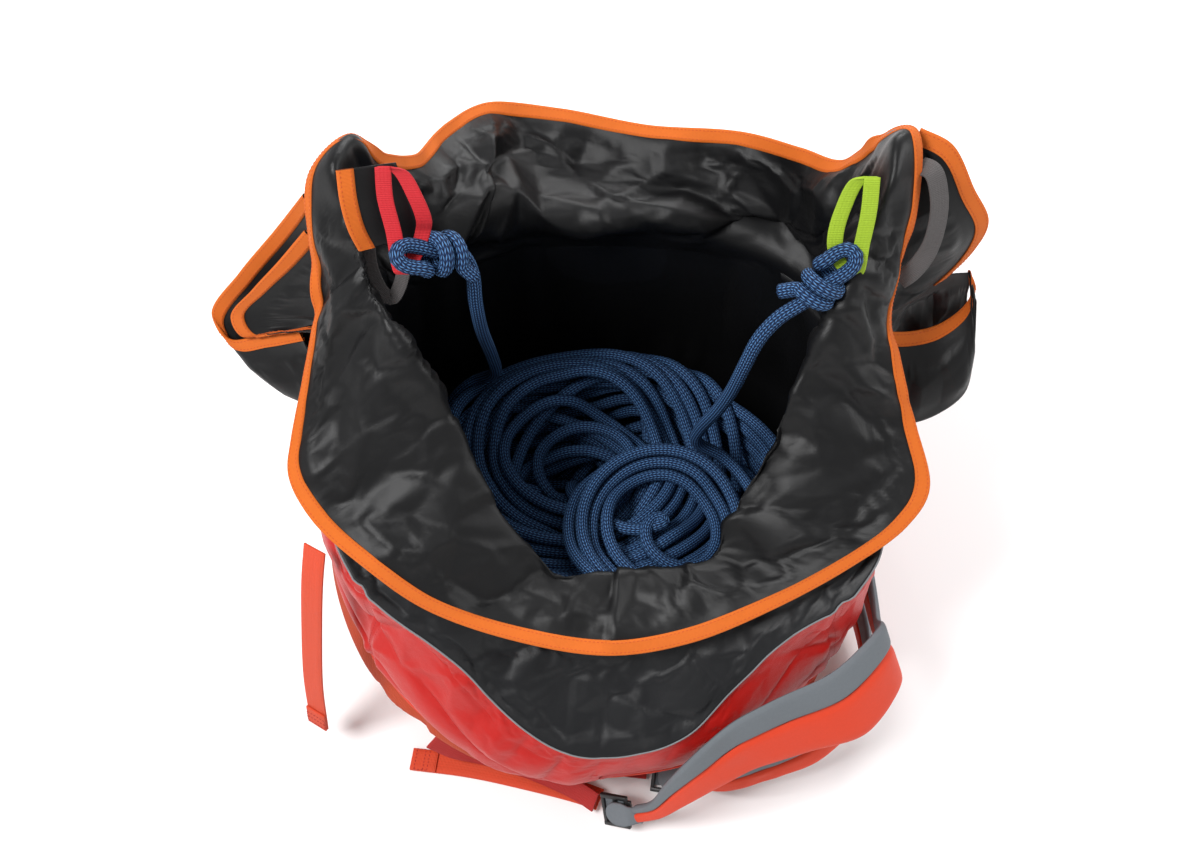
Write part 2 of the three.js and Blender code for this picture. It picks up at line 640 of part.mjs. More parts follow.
// ---- patches sewn on the shell where straps are anchored
function addPatch(name, fromDegrees, toDegrees, levels) {
  const divisions = Math.round(((toDegrees - fromDegrees) / 360) * COLUMNS);
  const face = (inset) => steps(divisions).map((t) => {
    const angle = THREE.MathUtils.degToRad(THREE.MathUtils.lerp(fromDegrees, toDegrees, t));
    return levels(angle).map((height) => tubPoint(angle, height, inset));
  });
  add(name, slab(face(-GAP - WEBBING_THICKNESS), face(-GAP)), CORAL, 0.85);
}

// ---- compression straps at the ends and the ladder locks on the rear wall that take them
function addSideStraps() {
  const leftLine = [
    [-216, -114, 290], [-222, -126, 260], [-232, -140, 200], [-244, -154, 120], [-252, -164, 42],
  ];
  const rightLine = [
    [196, 164, 288], [212, 176, 258], [226, 186, 200], [232, 192, 120], [234, 196, 42],
  ];
  const left = webbing(leftLine, WEBBING_WIDTH, WEBBING_THICKNESS, 12, [-0.5, -0.85, 0]);
  const right = webbing(rightLine, WEBBING_WIDTH, WEBBING_THICKNESS, 12, [0.7, 0.7, 0]);
  add('left_side_strap', left, CORAL, 0.85);
  add('right_side_strap', right, CORAL, 0.85);
  for (const [name, degrees] of [['left_side_lock', -142], ['right_side_lock', 150]]) {
    const angle = THREE.MathUtils.degToRad(degrees);
    const centre = tubPoint(angle, 240, -LOCK_THICKNESS - 3);
    const across = [Math.cos(angle), Math.sin(angle), 0];
    add(name, lockFrame(centre.toArray(), [0, 0, 1], across), 0x141414, 0.5);
  }
}

addBasePanel();
PANELS.forEach(addPanel);
addRimPiping();
addLiner();
addSkirt();
addTarp();
addFold('left_fold', LEFT_FOLD_EDGE, LEFT_FOLD_ROOT);
addFold('right_fold', RIGHT_FOLD_EDGE, RIGHT_FOLD_ROOT);
addGrips();
addRope();
addShoulderStrap('upper', UPPER_TOP_EDGE, UPPER_LOW_EDGE);
addShoulderStrap('lower', LOWER_TOP_EDGE, LOWER_LOW_EDGE);
addLocks();
addStrapWebbings();
addPatch('right_strap_anchor', 82.5, 97.5, (angle) => baseLevels(angle));
addPatch('left_strap_anchor', -45, -37.5, (angle) => baseLevels(angle).slice(0, 2));
addSideStraps();

export default bag;
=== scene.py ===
from math import ceil, cos, pi, radians, sin

import bpy
import numpy as np
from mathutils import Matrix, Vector


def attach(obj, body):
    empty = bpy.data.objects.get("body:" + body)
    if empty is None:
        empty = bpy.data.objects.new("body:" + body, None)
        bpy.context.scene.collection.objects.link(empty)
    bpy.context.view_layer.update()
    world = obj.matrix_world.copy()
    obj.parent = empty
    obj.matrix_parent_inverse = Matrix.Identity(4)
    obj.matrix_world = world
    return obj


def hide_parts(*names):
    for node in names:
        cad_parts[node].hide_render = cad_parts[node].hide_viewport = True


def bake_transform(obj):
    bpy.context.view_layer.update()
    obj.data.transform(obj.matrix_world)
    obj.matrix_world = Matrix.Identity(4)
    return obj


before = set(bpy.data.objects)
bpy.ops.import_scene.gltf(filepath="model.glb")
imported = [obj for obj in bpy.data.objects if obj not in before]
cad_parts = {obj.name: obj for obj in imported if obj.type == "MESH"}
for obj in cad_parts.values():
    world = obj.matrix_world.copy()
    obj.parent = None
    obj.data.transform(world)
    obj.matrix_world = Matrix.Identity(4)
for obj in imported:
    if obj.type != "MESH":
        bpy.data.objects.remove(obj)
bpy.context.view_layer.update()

# Points and sizes below are in millimetres, and MM turns them into the frame's metres.
MM = 0.001

ROPE_DIAMETER = 11
BINDING_WIDTH = 12
BINDING_THICKNESS = 2.8
STITCH_PITCH = 3.2
STITCH_SIZE = (1.05, 0.36, 0.42)  # half its length, half its width and its height
WEBBING_WIDTH = 20


# ---------------------------------------------------------------- camera, light and floor
CAMERA_PLACE = (0, -563, 1177)
CAMERA_TILT = 58  # degrees below the horizon
LENS_MM = 39.24
FLOOR_REACH = 6  # metres from the middle
FLOOR_GAP = 0.0005  # metres below the bag
FLOOR_GREY = 0.93
SKY_STRENGTH = 0.5


def add_camera():
    camera = bpy.data.cameras.new("camera")
    camera.lens = LENS_MM
    camera.sensor_width = 36
    camera.clip_end = 50
    holder = bpy.data.objects.new("camera", camera)
    holder.location = [value * MM for value in CAMERA_PLACE]
    holder.rotation_euler = (radians(90 - CAMERA_TILT), 0, 0)
    bpy.context.collection.objects.link(holder)
    bpy.context.scene.camera = holder


def add_area_light(name, place, target, size, power):
    light = bpy.data.lights.new(name, "AREA")
    light.shape = "RECTANGLE"
    light.size, light.size_y = size
    light.energy = power
    holder = bpy.data.objects.new(name, light)
    holder.location = place
    away = holder.location - Vector(target)
    holder.rotation_euler = away.to_track_quat("Z", "Y").to_euler()
    bpy.context.collection.objects.link(holder)


def add_floor_and_light():
    reach = FLOOR_REACH
    mesh = bpy.data.meshes.new("floor")
    corners = [(-reach, -reach, 0), (reach, -reach, 0), (reach, reach, 0), (-reach, reach, 0)]
    mesh.from_pydata(corners, [], [(0, 1, 2, 3)])
    floor = bpy.data.objects.new("floor", mesh)
    floor.location.z = -FLOOR_GAP
    bpy.context.collection.objects.link(floor)
    finish = bpy.data.materials.new("floor")
    finish.use_nodes = True
    shader = shader_of(finish)
    shader.inputs["Base Color"].default_value = (*[FLOOR_GREY] * 3, 1)
    shader.inputs["Roughness"].default_value = 0.9
    mesh.materials.append(finish)
    world = bpy.data.worlds.new("world")
    bpy.context.scene.world = world
    world.use_nodes = True
    sky = world.node_tree.nodes["Background"]
    sky.inputs["Color"].default_value = (1, 1, 1, 1)
    sky.inputs["Strength"].default_value = SKY_STRENGTH
    add_area_light("key", (-1.2, -0.7, 2.3), (0, 0, 0.2), (0.8, 0.8), 62)
    add_area_light("back", (0.3, 1.9, 1.5), (0, 0, 0.3), (1.6, 0.5), 30)
    add_area_light("side", (1.9, 0.1, 1.5), (0, 0, 0.2), (0.5, 1.0), 20)
    bpy.context.scene.view_settings.view_transform = "Standard"


# ---------------------------------------------------------------- curves, noise and grids
NOISE_CELLS = 97  # cells before the noise repeats


def curve_through(pairs):
    """A smooth curve through (x, y) pairs, level beyond its ends."""
    xs, ys = np.array(pairs, float).T
    before = np.maximum(np.arange(len(xs)) - 1, 0)
    after = np.minimum(np.arange(len(xs)) + 1, len(xs) - 1)
    slopes = (ys[after] - ys[before]) / (xs[after] - xs[before])

    def value(x):
        x = np.clip(x, xs[0], xs[-1])
        i = np.clip(np.searchsorted(xs, x, side="right") - 1, 0, len(xs) - 2)
        span = xs[i + 1] - xs[i]
        t = (x - xs[i]) / span
        rise = ys[i + 1] - ys[i]
        start, end = slopes[i] * span, slopes[i + 1] * span
        cubic, square = start + end - 2 * rise, 3 * rise - 2 * start - end
        return ys[i] + t * (start + t * (square + t * cubic))

    return value


def spline(points, per_span=12, closed=False):
    """Points along a centripetal Catmull-Rom curve, the same number in each span."""
    p = np.array(points, float)
    if closed:
        p = np.vstack([p[-1:], p, p[:2]])
    else:
        p = np.vstack([2 * p[0] - p[1], p, 2 * p[-1] - p[-2]])
    out = []
    for a, b, c, d in zip(p[:-3], p[1:-2], p[2:-1], p[3:]):
        t0 = 0.0
        t1 = t0 + np.linalg.norm(b - a) ** 0.5
        t2 = t1 + np.linalg.norm(c - b) ** 0.5
        t3 = t2 + np.linalg.norm(d - c) ** 0.5
        t = np.linspace(t1, t2, per_span, endpoint=False)[:, None]
        ab = (t1 - t) / (t1 - t0) * a + (t - t0) / (t1 - t0) * b
        bc = (t2 - t) / (t2 - t1) * b + (t - t1) / (t2 - t1) * c
        cd = (t3 - t) / (t3 - t2) * c + (t - t2) / (t3 - t2) * d
        abc = (t2 - t) / (t2 - t0) * ab + (t - t0) / (t2 - t0) * bc
        bcd = (t3 - t) / (t3 - t1) * bc + (t - t1) / (t3 - t1) * cd
        out.append((t2 - t) / (t2 - t1) * abc + (t - t1) / (t2 - t1) * bcd)
    if not closed:
        out.append(p[-2:-1])
    return np.vstack(out)


def lengths_along(line):
    return np.concatenate([[0], np.cumsum(np.linalg.norm(np.diff(line, axis=0), axis=1))])


def read_off(at, along, values, period=None):
    """Each column of values, given at the places in along, read off at the places in at."""
    columns = [np.interp(at, along, column, period=period) for column in values.T]
    return np.stack(columns, axis=1)


def resampled(line, count=None, step=None):
    """The line with count points, or points about step apart, evenly spaced by length."""
    along = lengths_along(line)
    count = count or max(2, ceil(along[-1] / step) + 1)
    return read_off(np.linspace(0, along[-1], count), along, line)


def closed(line):
    return np.vstack([line, line[:1]])


def value_noise(u, v, seed):
    """Smooth noise from -1 to 1 over a plane, one cell to a unit."""
    lattice = np.random.default_rng(seed).uniform(-1, 1, (NOISE_CELLS, NOISE_CELLS))
    iu, iv = np.floor(u).astype(int), np.floor(v).astype(int)
    fu, fv = u - iu, v - iv
    fu, fv = fu * fu * (3 - 2 * fu), fv * fv * (3 - 2 * fv)

    def corner(i, j):
        return lattice[i % NOISE_CELLS, j % NOISE_CELLS]

    low = corner(iu, iv) * (1 - fu) + corner(iu + 1, iv) * fu
    high = corner(iu, iv + 1) * (1 - fu) + corner(iu + 1, iv + 1) * fu
    return low * (1 - fv) + high * fv


def crumple(u, v, cell, seed, tilt=0.5):
    """Creases between flattish facets, as in stiff crumpled cloth; u, v and cell share a unit."""
    rng = np.random.default_rng(seed)
    span_u, span_v = (u.max() - u.min()) + 4 * cell, (v.max() - v.min()) + 4 * cell
    count = int(span_u * span_v / cell**2)
    layers = []
    for _ in range(2):
        centre = rng.uniform(0, 1, (count, 2)) * (span_u, span_v)
        centre += (u.min() - 2 * cell, v.min() - 2 * cell)
        slope = rng.uniform(-tilt, tilt, (count, 2))
        lift = rng.uniform(-0.12, 0.12, count) * cell
        best = np.full(u.shape, -np.inf)
        for (cu, cv), (su, sv), b in zip(centre, slope, lift):
            du, dv = u - cu, v - cv
            best = np.maximum(best, b + su * du + sv * dv - (du * du + dv * dv) * 0.55 / cell)
        layers.append(best)
    return layers[0] - layers[1]


def smoothstep(low, high, x):
    t = np.clip((x - low) / (high - low), 0, 1)
    return t * t * (3 - 2 * t)


def unit(vectors):
    return vectors / np.maximum(np.linalg.norm(vectors, axis=-1, keepdims=True), 1e-9)


def grid_normals(grid, ring=False):
    if ring:
        across = np.roll(grid, -1, axis=0) - np.roll(grid, 1, axis=0)
    else:
        across = np.gradient(grid, axis=0)
    along = np.gradient(grid, axis=1)
    return unit(np.cross(across, along))


def mesh_piece(name, points, faces, material, uv=None):
    """A smooth mesh object from points in millimetres; uv is one pair for each face corner."""
    mesh = bpy.data.meshes.new(name)
    mesh.from_pydata((np.asarray(points) * MM).tolist(), [], faces)
    mesh.update()
    mesh.polygons.foreach_set("use_smooth", [True] * len(mesh.polygons))
    if uv is not None:
        layer = mesh.uv_layers.new(name="UVMap")
        layer.data.foreach_set("uv", np.asarray(uv, np.float32).ravel())
    mesh.materials.append(material)
    piece = bpy.data.objects.new(name, mesh)
    bpy.context.collection.objects.link(piece)
    return piece


def grid_piece(name, grid, material, ring=False, thickness=0.0):
    """A cloth piece over a grid of points, with uv in metres; thickness is in millimetres."""
    columns, rows = grid.shape[:2]
    last = columns if ring else columns - 1
    i, j = np.meshgrid(np.arange(last), np.arange(rows - 1), indexing="ij")
    i, j = i.ravel(), j.ravel()
    nxt = (i + 1) % columns
    faces = np.stack([i * rows + j, nxt * rows + j, nxt * rows + j + 1, i * rows + j + 1], axis=1)
    across = np.linalg.norm(np.roll(grid, -1, axis=0) - grid, axis=2).mean(axis=1) * MM
    u = np.concatenate([[0], np.cumsum(across)])
    down = np.linalg.norm(np.diff(grid, axis=1), axis=2).mean(axis=0) * MM
    v = np.concatenate([[0], np.cumsum(down)])
    uv = np.stack([np.stack([u[i], u[i + 1], u[i + 1], u[i]], axis=1),
                   np.stack([v[j], v[j], v[j + 1], v[j + 1]], axis=1)], axis=2)
    piece = mesh_piece(name, grid.reshape(-1, 3), faces.tolist(), material, uv)
    if thickness:
        solid = piece.modifiers.new("thickness", "SOLIDIFY")
        solid.thickness = thickness * MM
        solid.offset = 0
    return piece


def tube_piece(name, line, radius, material, sides=12):
    """A round cord along a line, with uv of length in metres and turn from 0 to 1, ends closed."""
    line = np.asarray(line, float)
    tangent = unit(np.gradient(line, axis=0))
    normal = np.zeros_like(line)
    side = np.cross(tangent[0], (0, 0, 1))
    normal[0] = unit(side if np.linalg.norm(side) > 0.1 else np.cross(tangent[0], (1, 0, 0)))
    for k in range(1, len(line)):
        carried = normal[k - 1] - tangent[k] * (normal[k - 1] @ tangent[k])
        normal[k] = carried / np.linalg.norm(carried)
    binormal = np.cross(tangent, normal)
    turn = np.arange(sides) / sides * 2 * pi
    ring = (normal[:, None] * np.cos(turn)[None, :, None]
            + binormal[:, None] * np.sin(turn)[None, :, None])
    points = (line[:, None] + radius * ring).reshape(-1, 3)
    i, j = np.meshgrid(np.arange(len(line) - 1), np.arange(sides), indexing="ij")
    i, j = i.ravel(), j.ravel()
    nxt = (j + 1) % sides
    here, ahead = i * sides, (i + 1) * sides
    faces = np.stack([here + j, here + nxt, ahead + nxt, ahead + j], axis=1)
    along = lengths_along(line) * MM
    u = np.stack([along[i], along[i], along[i + 1], along[i + 1]], axis=1)
    v = np.stack([j, j + 1, j + 1, j], axis=1) / sides
    caps = [list(range(sides))[::-1], list(range((len(line) - 1) * sides, len(line) * sides))]
    uv = np.concatenate([np.stack([u, v], axis=2).reshape(-1, 2), np.zeros((2 * sides, 2))])
    return mesh_piece(name, points, faces.tolist() + caps, material, uv)


# ---------------------------------------------------------------- materials
def shader_of(material):
    return material.node_tree.nodes["Principled BSDF"]


def new_material(name, color, roughness, **settings):
    """A Principled material; settings name sockets with underscores for spaces."""
    material = bpy.data.materials.new(name)
    material.use_nodes = True
    shader = shader_of(material)
    shader.inputs["Base Color"].default_value = (*color, 1)
    shader.inputs["Roughness"].default_value = roughness
    for key, value in settings.items():
        shader.inputs[key.replace("_", " ")].default_value = value
    return material


def node(tree, kind, inputs=None, **settings):
    made = tree.nodes.new(kind)
    for key, value in settings.items():
        setattr(made, key, value)
    for key, value in (inputs or {}).items():
        if isinstance(value, bpy.types.NodeSocket):
            tree.links.new(value, made.inputs[key])
        else:
            made.inputs[key].default_value = value
    return made


def maths(tree, operation, a, b=0.0, c=0.0):
    return node(tree, "ShaderNodeMath", {0: a, 1: b, 2: c}, operation=operation).outputs[0]


def noise(tree, place, scale, detail, roughness):
    inputs = {"Vector": place, "Scale": scale, "Detail": detail, "Roughness": roughness}
    return node(tree, "ShaderNodeTexNoise", inputs).outputs["Fac"]


def uv_axes(tree):
    """The uv map's two numbers, in metres on cloth pieces."""
    coordinates = node(tree, "ShaderNodeTexCoord")
    split = node(tree, "ShaderNodeSeparateXYZ", {0: coordinates.outputs["UV"]})
    return split.outputs[0], split.outputs[1]


def place_of(tree):
    return node(tree, "ShaderNodeTexCoord").outputs["Object"]


def wave(tree, along, pitch):
    """A sine of the given pitch in metres, from 0 to 1."""
    turned = maths(tree, "SINE", maths(tree, "MULTIPLY", along, 2 * pi / pitch))
    return maths(tree, "MULTIPLY_ADD", turned, 0.5, 0.5)


def weave(tree, pitch_u, pitch_v):
    """The height of a plain weave, from 0 to 1."""
    u, v = uv_axes(tree)
    a = maths(tree, "SINE", maths(tree, "MULTIPLY", u, pi / pitch_u))
    b = maths(tree, "SINE", maths(tree, "MULTIPLY", v, pi / pitch_v))
    return maths(tree, "MULTIPLY_ADD", maths(tree, "MULTIPLY", a, b), 0.5, 0.5)


def tint(tree, factor, low, high):
    """A colour between two, by a factor from 0 to 1."""
    mix = node(tree, "ShaderNodeMix", data_type="RGBA")
    tree.links.new(factor, mix.inputs[0])
    mix.inputs[6].default_value = (*low, 1)
    mix.inputs[7].default_value = (*high, 1)
    return mix.outputs[2]


def shade(color, share):
    return tuple(min(1.0, channel * share) for channel in color)


def bump(tree, height, distance, normal=None):
    """distance is in millimetres."""
    inputs = {"Height": height, "Distance": distance * MM, "Strength": 1.0}
    if normal is not None:
        inputs["Normal"] = normal
    return node(tree, "ShaderNodeBump", inputs).outputs["Normal"]


def connect(material, **links):
    for key, socket in links.items():
        material.node_tree.links.new(socket, shader_of(material).inputs[key.replace("_", " ")])


def fabric(name, color, roughness, weave_mm=0.0, weave_depth=0.08, mottle=0.18, wrinkles=(),
           ribs=(), rough_spread=0.08, **settings):
    """A woven cloth: mottled colour, uneven roughness, wrinkles as (scale, depth mm) and ribs as
    (axis, pitch mm, depth mm) in its bump, over a plain weave."""
    material = new_material(name, color, roughness, **settings)
    tree = material.node_tree
    place = place_of(tree)
    patches = noise(tree, place, 9, 4, 0.6)
    fine = noise(tree, place, 420, 2, 0.5)
    blend = maths(tree, "MULTIPLY_ADD", fine, 0.45, maths(tree, "MULTIPLY", patches, 0.55))
    base = tint(tree, blend, shade(color, 1 - mottle), shade(color, 1 + mottle))
    uneven = maths(tree, "MULTIPLY_ADD", patches, 2 * rough_spread, roughness - rough_spread)
    normal = None
    for scale, depth in wrinkles:
        normal = bump(tree, noise(tree, place, scale, 5, 0.55), depth, normal)
    u, v = uv_axes(tree)
    for axis, pitch, depth in ribs:
        normal = bump(tree, wave(tree, (u, v)[axis], pitch * MM), depth, normal)
    if weave_mm:
        normal = bump(tree, weave(tree, weave_mm * MM, weave_mm * MM), weave_depth, normal)
    links = {"Base_Color": base, "Roughness": uneven}
    if normal is not None:
        links["Normal"] = normal
    connect(material, **links)
    return material


def rope_sheath():
    """Braided yarns: columns of short slanting floats, turned each way in turn, light on navy as in the
    braid's own yarns, coloured by each float's height, so the pale crowns are partly painted highlight
    and the navy gaps partly painted shade.
    """
    columns, float_mm = 16, 3.6
    navy, blue, pale = (0.003, 0.005, 0.018), (0.008, 0.038, 0.125), (0.10, 0.24, 0.47)
    material = new_material("rope_sheath", blue, 0.75, Specular_IOR_Level=0.25)
    tree = material.node_tree
    along, turn = uv_axes(tree)
    column = maths(tree, "MULTIPLY", turn, columns)
    share = maths(tree, "FRACT", column)
    slant = maths(tree, "MULTIPLY_ADD", maths(tree, "MODULO", maths(tree, "FLOOR", column), 2), -2, 1)
    lean = maths(tree, "MULTIPLY", maths(tree, "SUBTRACT", share, 0.5), slant)
    step = maths(tree, "MULTIPLY_ADD", along, 1 / (float_mm * MM), maths(tree, "MULTIPLY", lean, 0.9))
    yarn = maths(tree, "ABSOLUTE", maths(tree, "SINE", maths(tree, "MULTIPLY", step, pi)))
    round_over = maths(tree, "SINE", maths(tree, "MULTIPLY", share, pi))
    height = maths(tree, "MULTIPLY", maths(tree, "POWER", yarn, 0.6), round_over)
    # The colour follows the floats' height: navy in the gaps between floats, blue on their sides, pale
    # on their crowns. This is the braid's own navy and light yarns, with painted shade in the gaps and a
    # painted highlight on the crowns.
    ramp = node(tree, "ShaderNodeValToRGB", {0: height})
    stops = ramp.color_ramp.elements
    stops[0].position, stops[0].color = 0.12, (*navy, 1)
    stops[1].position, stops[1].color = 0.95, (*pale, 1)
    middle = stops.new(0.55)
    middle.color = (*blue, 1)
    patches = noise(tree, place_of(tree), 30, 3, 0.5)
    mix = node(tree, "ShaderNodeMix", data_type="RGBA", blend_type="MULTIPLY")
    mix.inputs[0].default_value = 0.6
    tree.links.new(ramp.outputs[0], mix.inputs[6])
    tree.links.new(tint(tree, patches, (0.55, 0.55, 0.6), (1, 1, 1)), mix.inputs[7])
    connect(material, Base_Color=mix.outputs[2], Normal=bump(tree, height, 0.5))
    return material


def moulded_plastic():
    material = new_material("moulded_acetal", (0.012, 0.012, 0.013), 0.38)
    tree = material.node_tree
    grain = noise(tree, place_of(tree), 900, 2, 0.5)
    scuffs = noise(tree, place_of(tree), 60, 4, 0.6)
    connect(material, Roughness=maths(tree, "MULTIPLY_ADD", scuffs, 0.25, 0.27),
            Normal=bump(tree, grain, 0.05))
    return material


def make_materials():
    nylon = dict(weave_mm=0.45, weave_depth=0.05)
    webbing = dict(ribs=((0, 1.3, 0.22), (1, 2.4, 0.1)), mottle=0.16)
    wrinkled = ((30, 1.6), (110, 0.4))
    return {
        "tarp": fabric("tarp_nylon", (0.0055, 0.0055, 0.006), 0.41, mottle=0.25, rough_spread=0.06,
                       wrinkles=((12, 1.0), (60, 0.2)), Specular_IOR_Level=0.27, **nylon),
        "lining": fabric("lining_cloth", (0.006, 0.0063, 0.0075), 0.46, mottle=0.25,
                         wrinkles=((14, 1.2), (60, 0.3)), Specular_IOR_Level=0.32, **nylon),
        "lining_edge": fabric("lining_edge", (0.20, 0.21, 0.22), 0.7, weave_mm=0.5),
        "red": fabric("red_nylon", (0.44, 0.010, 0.007), 0.44, mottle=0.12, wrinkles=wrinkled,
                      Specular_IOR_Level=0.35, **nylon),
        "rust": fabric("rust_canvas", (0.40, 0.050, 0.016), 0.75, mottle=0.14,
                       wrinkles=((26, 1.2),), ribs=((0, 1.6, 0.25), (1, 1.6, 0.12)),
                       Specular_IOR_Level=0.3),
        "orange": fabric("orange_grosgrain", (0.60, 0.125, 0.010), 0.72, mottle=0.14,
                         ribs=((0, 0.9, 0.16),), wrinkles=((45, 0.6),), Specular_IOR_Level=0.3),
        "thread": fabric("orange_thread", (0.50, 0.075, 0.006), 0.8, mottle=0.2),
        "red_thread": fabric("red_thread", (0.33, 0.012, 0.012), 0.8, mottle=0.2),
        "grey_webbing": fabric("grey_webbing", (0.075, 0.068, 0.068), 0.8, **webbing),
        "red_loop": fabric("red_loop_webbing", (0.48, 0.006, 0.014), 0.75, **webbing),
        "green_loop": fabric("green_loop_webbing", (0.30, 0.45, 0.015), 0.75, **webbing),
        "rope": rope_sheath(),
        "pad": fabric("strap_cloth", (0.62, 0.046, 0.014), 0.6, wrinkles=((35, 0.7),),
                      weave_mm=0.6, mottle=0.1, Specular_IOR_Level=0.3),
        "trim": fabric("strap_trim", (0.135, 0.150, 0.165), 0.7, wrinkles=((35, 0.7),),
                       weave_mm=0.6, weave_depth=0.1, mottle=0.14, Specular_IOR_Level=0.3),
        "webbing": fabric("coral_webbing", (0.60, 0.055, 0.015), 0.75, **webbing),
        "dark_webbing": fabric("dark_red_webbing", (0.36, 0.012, 0.010), 0.75, **webbing),
        "piping": fabric("piping_cord", (0.60, 0.045, 0.020), 0.7, ribs=((0, 1.2, 0.15),)),
        "plastic": moulded_plastic(),
    }


# ---------------------------------------------------------------- the tub's form
half_width_at = curve_through([(0, 205), (40, 226), (85, 235), (160, 231), (300, 212)])
front_depth_at = curve_through(
    [(0, 165), (40, 205), (80, 224), (145, 228), (190, 207), (240, 192), (300, 186)])
rear_depth_at = curve_through([(0, 165), (40, 193), (85, 203), (160, 200), (300, 190)])
front_squareness_at = curve_through(
    [(0, 2.6), (60, 2.1), (200, 2.1), (230, 2.3), (272, 2.8), (300, 3)])
front_rim_at = curve_through([(-212, 298), (-177, 272), (-117, 228), (-73, 182), (-20, 150), (18, 142),
                              (60, 155), (93, 180), (124, 202), (180, 260), (212, 298)])
REAR_SQUARENESS = 2.8
REAR_RIM = 300


def tub_point(angle, height, inset=0.0):
    """A point of the tub's wall. Angles run round the plan from the front centre towards +X."""
    angle, height, inset = np.broadcast_arrays(*(np.asarray(x, float) for x in (angle, height, inset)))
    sine, cosine = np.sin(angle), np.cos(angle)
    front = cosine > 0
    depth = np.where(front, front_depth_at(height), rear_depth_at(height)) - inset
    power = np.where(front, front_squareness_at(height), REAR_SQUARENESS)
    width = half_width_at(height) - inset
    radius = (np.abs(sine / width) ** power + np.abs(cosine / depth) ** power) ** (-1 / power)
    return np.stack([radius * sine, -radius * cosine, height], axis=-1)


def rim_height(angle):
    return np.where(np.cos(angle) > 0, front_rim_at(tub_point(angle, 220)[..., 0]), REAR_RIM)


def base_top(angle):
    return 75 + 80 * np.sin(angle) ** 2


# ---------------------------------------------------------------- rope
LEFT_RUN = [
    (-97, 44, 447), (-94, 42, 430), (-94, 42, 392), (-94, 55, 338), (-92, 75, 280), (-93, 95, 220),
    (-98, 111, 175), (-113, 114, 154), (-134, 107, 148),
]
RIGHT_RUN = [
    (146, 14, 425), (131, 12, 413), (118, 8, 392), (110, 6, 360), (104, 10, 320), (96, 17, 280),
    (85, 27, 236), (73, 34, 198), (71, 36, 172), (82, 32, 156), (104, 30, 150), (130, 36, 148),
]
ROPE_STEP = 4.0
PILE_FLOOR = 17  # the lowest the rope may lie
PILE_REACH = (182, 168)  # half the pile's width and depth
PILE_INSET = 34  # how far the pile's outermost rope stays in from the wall
TOP_OF_LEAD = -190  # the lead-in lies on the pile as far left as this
KNOT_RADIUS = 11.5
KNOT_TURNS = 1.9
EASING_ROUNDS = 400
GRIP_LEAN = (0, -0.53, 0.85)  # square to the cloth at the grips


def inside_tub(plan, inset):
    """The plan points, drawn in to the tub's outline at that inset."""
    angle = np.arctan2(plan[:, 0], -plan[:, 1])
    limit = np.linalg.norm(tub_point(angle, 75, inset)[:, :2], axis=1)
    radius = np.linalg.norm(plan, axis=1)
    return plan * (np.minimum(1, limit / np.maximum(radius, 1e-6)))[:, None]


def coil_plan(turns, centre, start_radii, end_radii, start_degrees, wander, seed):
    """Turns that grow or shrink from start_radii to end_radii; wander moves each one's centre."""
    rng = np.random.default_rng(seed)
    per_turn = 30
    at = np.arange(int(turns * per_turn)) / per_turn
    moves = rng.uniform(-1, 1, (int(turns) + 3, 2)) * wander
    offset = read_off(at, np.arange(len(moves)), moves)
    share = (at / turns)[:, None]
    radii = np.array(start_radii) * (1 - share) + np.array(end_radii) * share
    turn = radians(start_degrees) + 2 * pi * at
    return np.array(centre) + offset + radii * np.stack([np.cos(turn), np.sin(turn)], axis=1)


def loose_loops(count, seed):
    """Loops of all sizes that cover the floor of the bag evenly, one running on into the next."""
    rng = np.random.default_rng(seed)
    per_turn = 20
    radius = rng.uniform(0.28, 1.0, count + 3)
    away = rng.uniform(0, 2 * pi, count + 3)
    shift = (1 - radius) * rng.uniform(0.6, 1.0, count + 3)
    at = np.arange(count * per_turn) / per_turn

    def eased(values):
        return np.interp(at + 0.5 * np.sin(2 * pi * at) / (2 * pi), np.arange(count + 3), values)

    r = eased(radius)
    x = eased(shift * np.cos(away)) + r * np.cos(2 * pi * at)
    y = eased(shift * np.sin(away)) + r * np.sin(2 * pi * at)
    return np.stack([PILE_REACH[0] * x, PILE_REACH[1] * y - 2], axis=1)


class Surface:
    """The height of what has been laid so far, over a plan of small cells."""

    CELL = 2.5
    HALF = 260
    RADIUS = ROPE_DIAMETER / 2

    def __init__(self, floor):
        size = int(2 * self.HALF / self.CELL)
        self.height = np.full((size, size), float(floor))
        reach = np.arange(-3, 4)
        self.di, self.dj = (x.ravel() for x in np.meshgrid(reach, reach, indexing="ij"))

    def cells(self, plan):
        i = np.rint((plan[:, 0] + self.HALF) / self.CELL).astype(int)[:, None] + self.di
        j = np.rint((plan[:, 1] + self.HALF) / self.CELL).astype(int)[:, None] + self.dj
        x, y = i * self.CELL - self.HALF, j * self.CELL - self.HALF
        off = np.hypot(x - plan[:, :1], y - plan[:, 1:])
        return i, j, off

    def rest_on(self, plan):
        i, j, off = self.cells(plan)
        under = np.where(off < 0.8 * self.RADIUS, self.height[i, j], -np.inf).max(axis=1)
        return under + 0.96 * self.RADIUS

    def stamp(self, plan, heights):
        i, j, off = self.cells(plan)
        crown = np.sqrt(np.maximum(self.RADIUS**2 - off**2, 0))
        crown[off >= self.RADIUS] = -np.inf
        np.maximum.at(self.height, (i, j), heights[:, None] + crown)


def eased_heights(raw):
    """The heights of a rope that bridges the dips between what it lies on."""
    wide = np.array([raw[max(0, k - 4):k + 5].max() for k in range(len(raw))])
    kernel = np.exp(-0.5 * (np.arange(-12, 13) / 4.2) ** 2)
    return np.convolve(np.pad(wide, 12, mode="edge"), kernel / kernel.sum(), mode="valid")


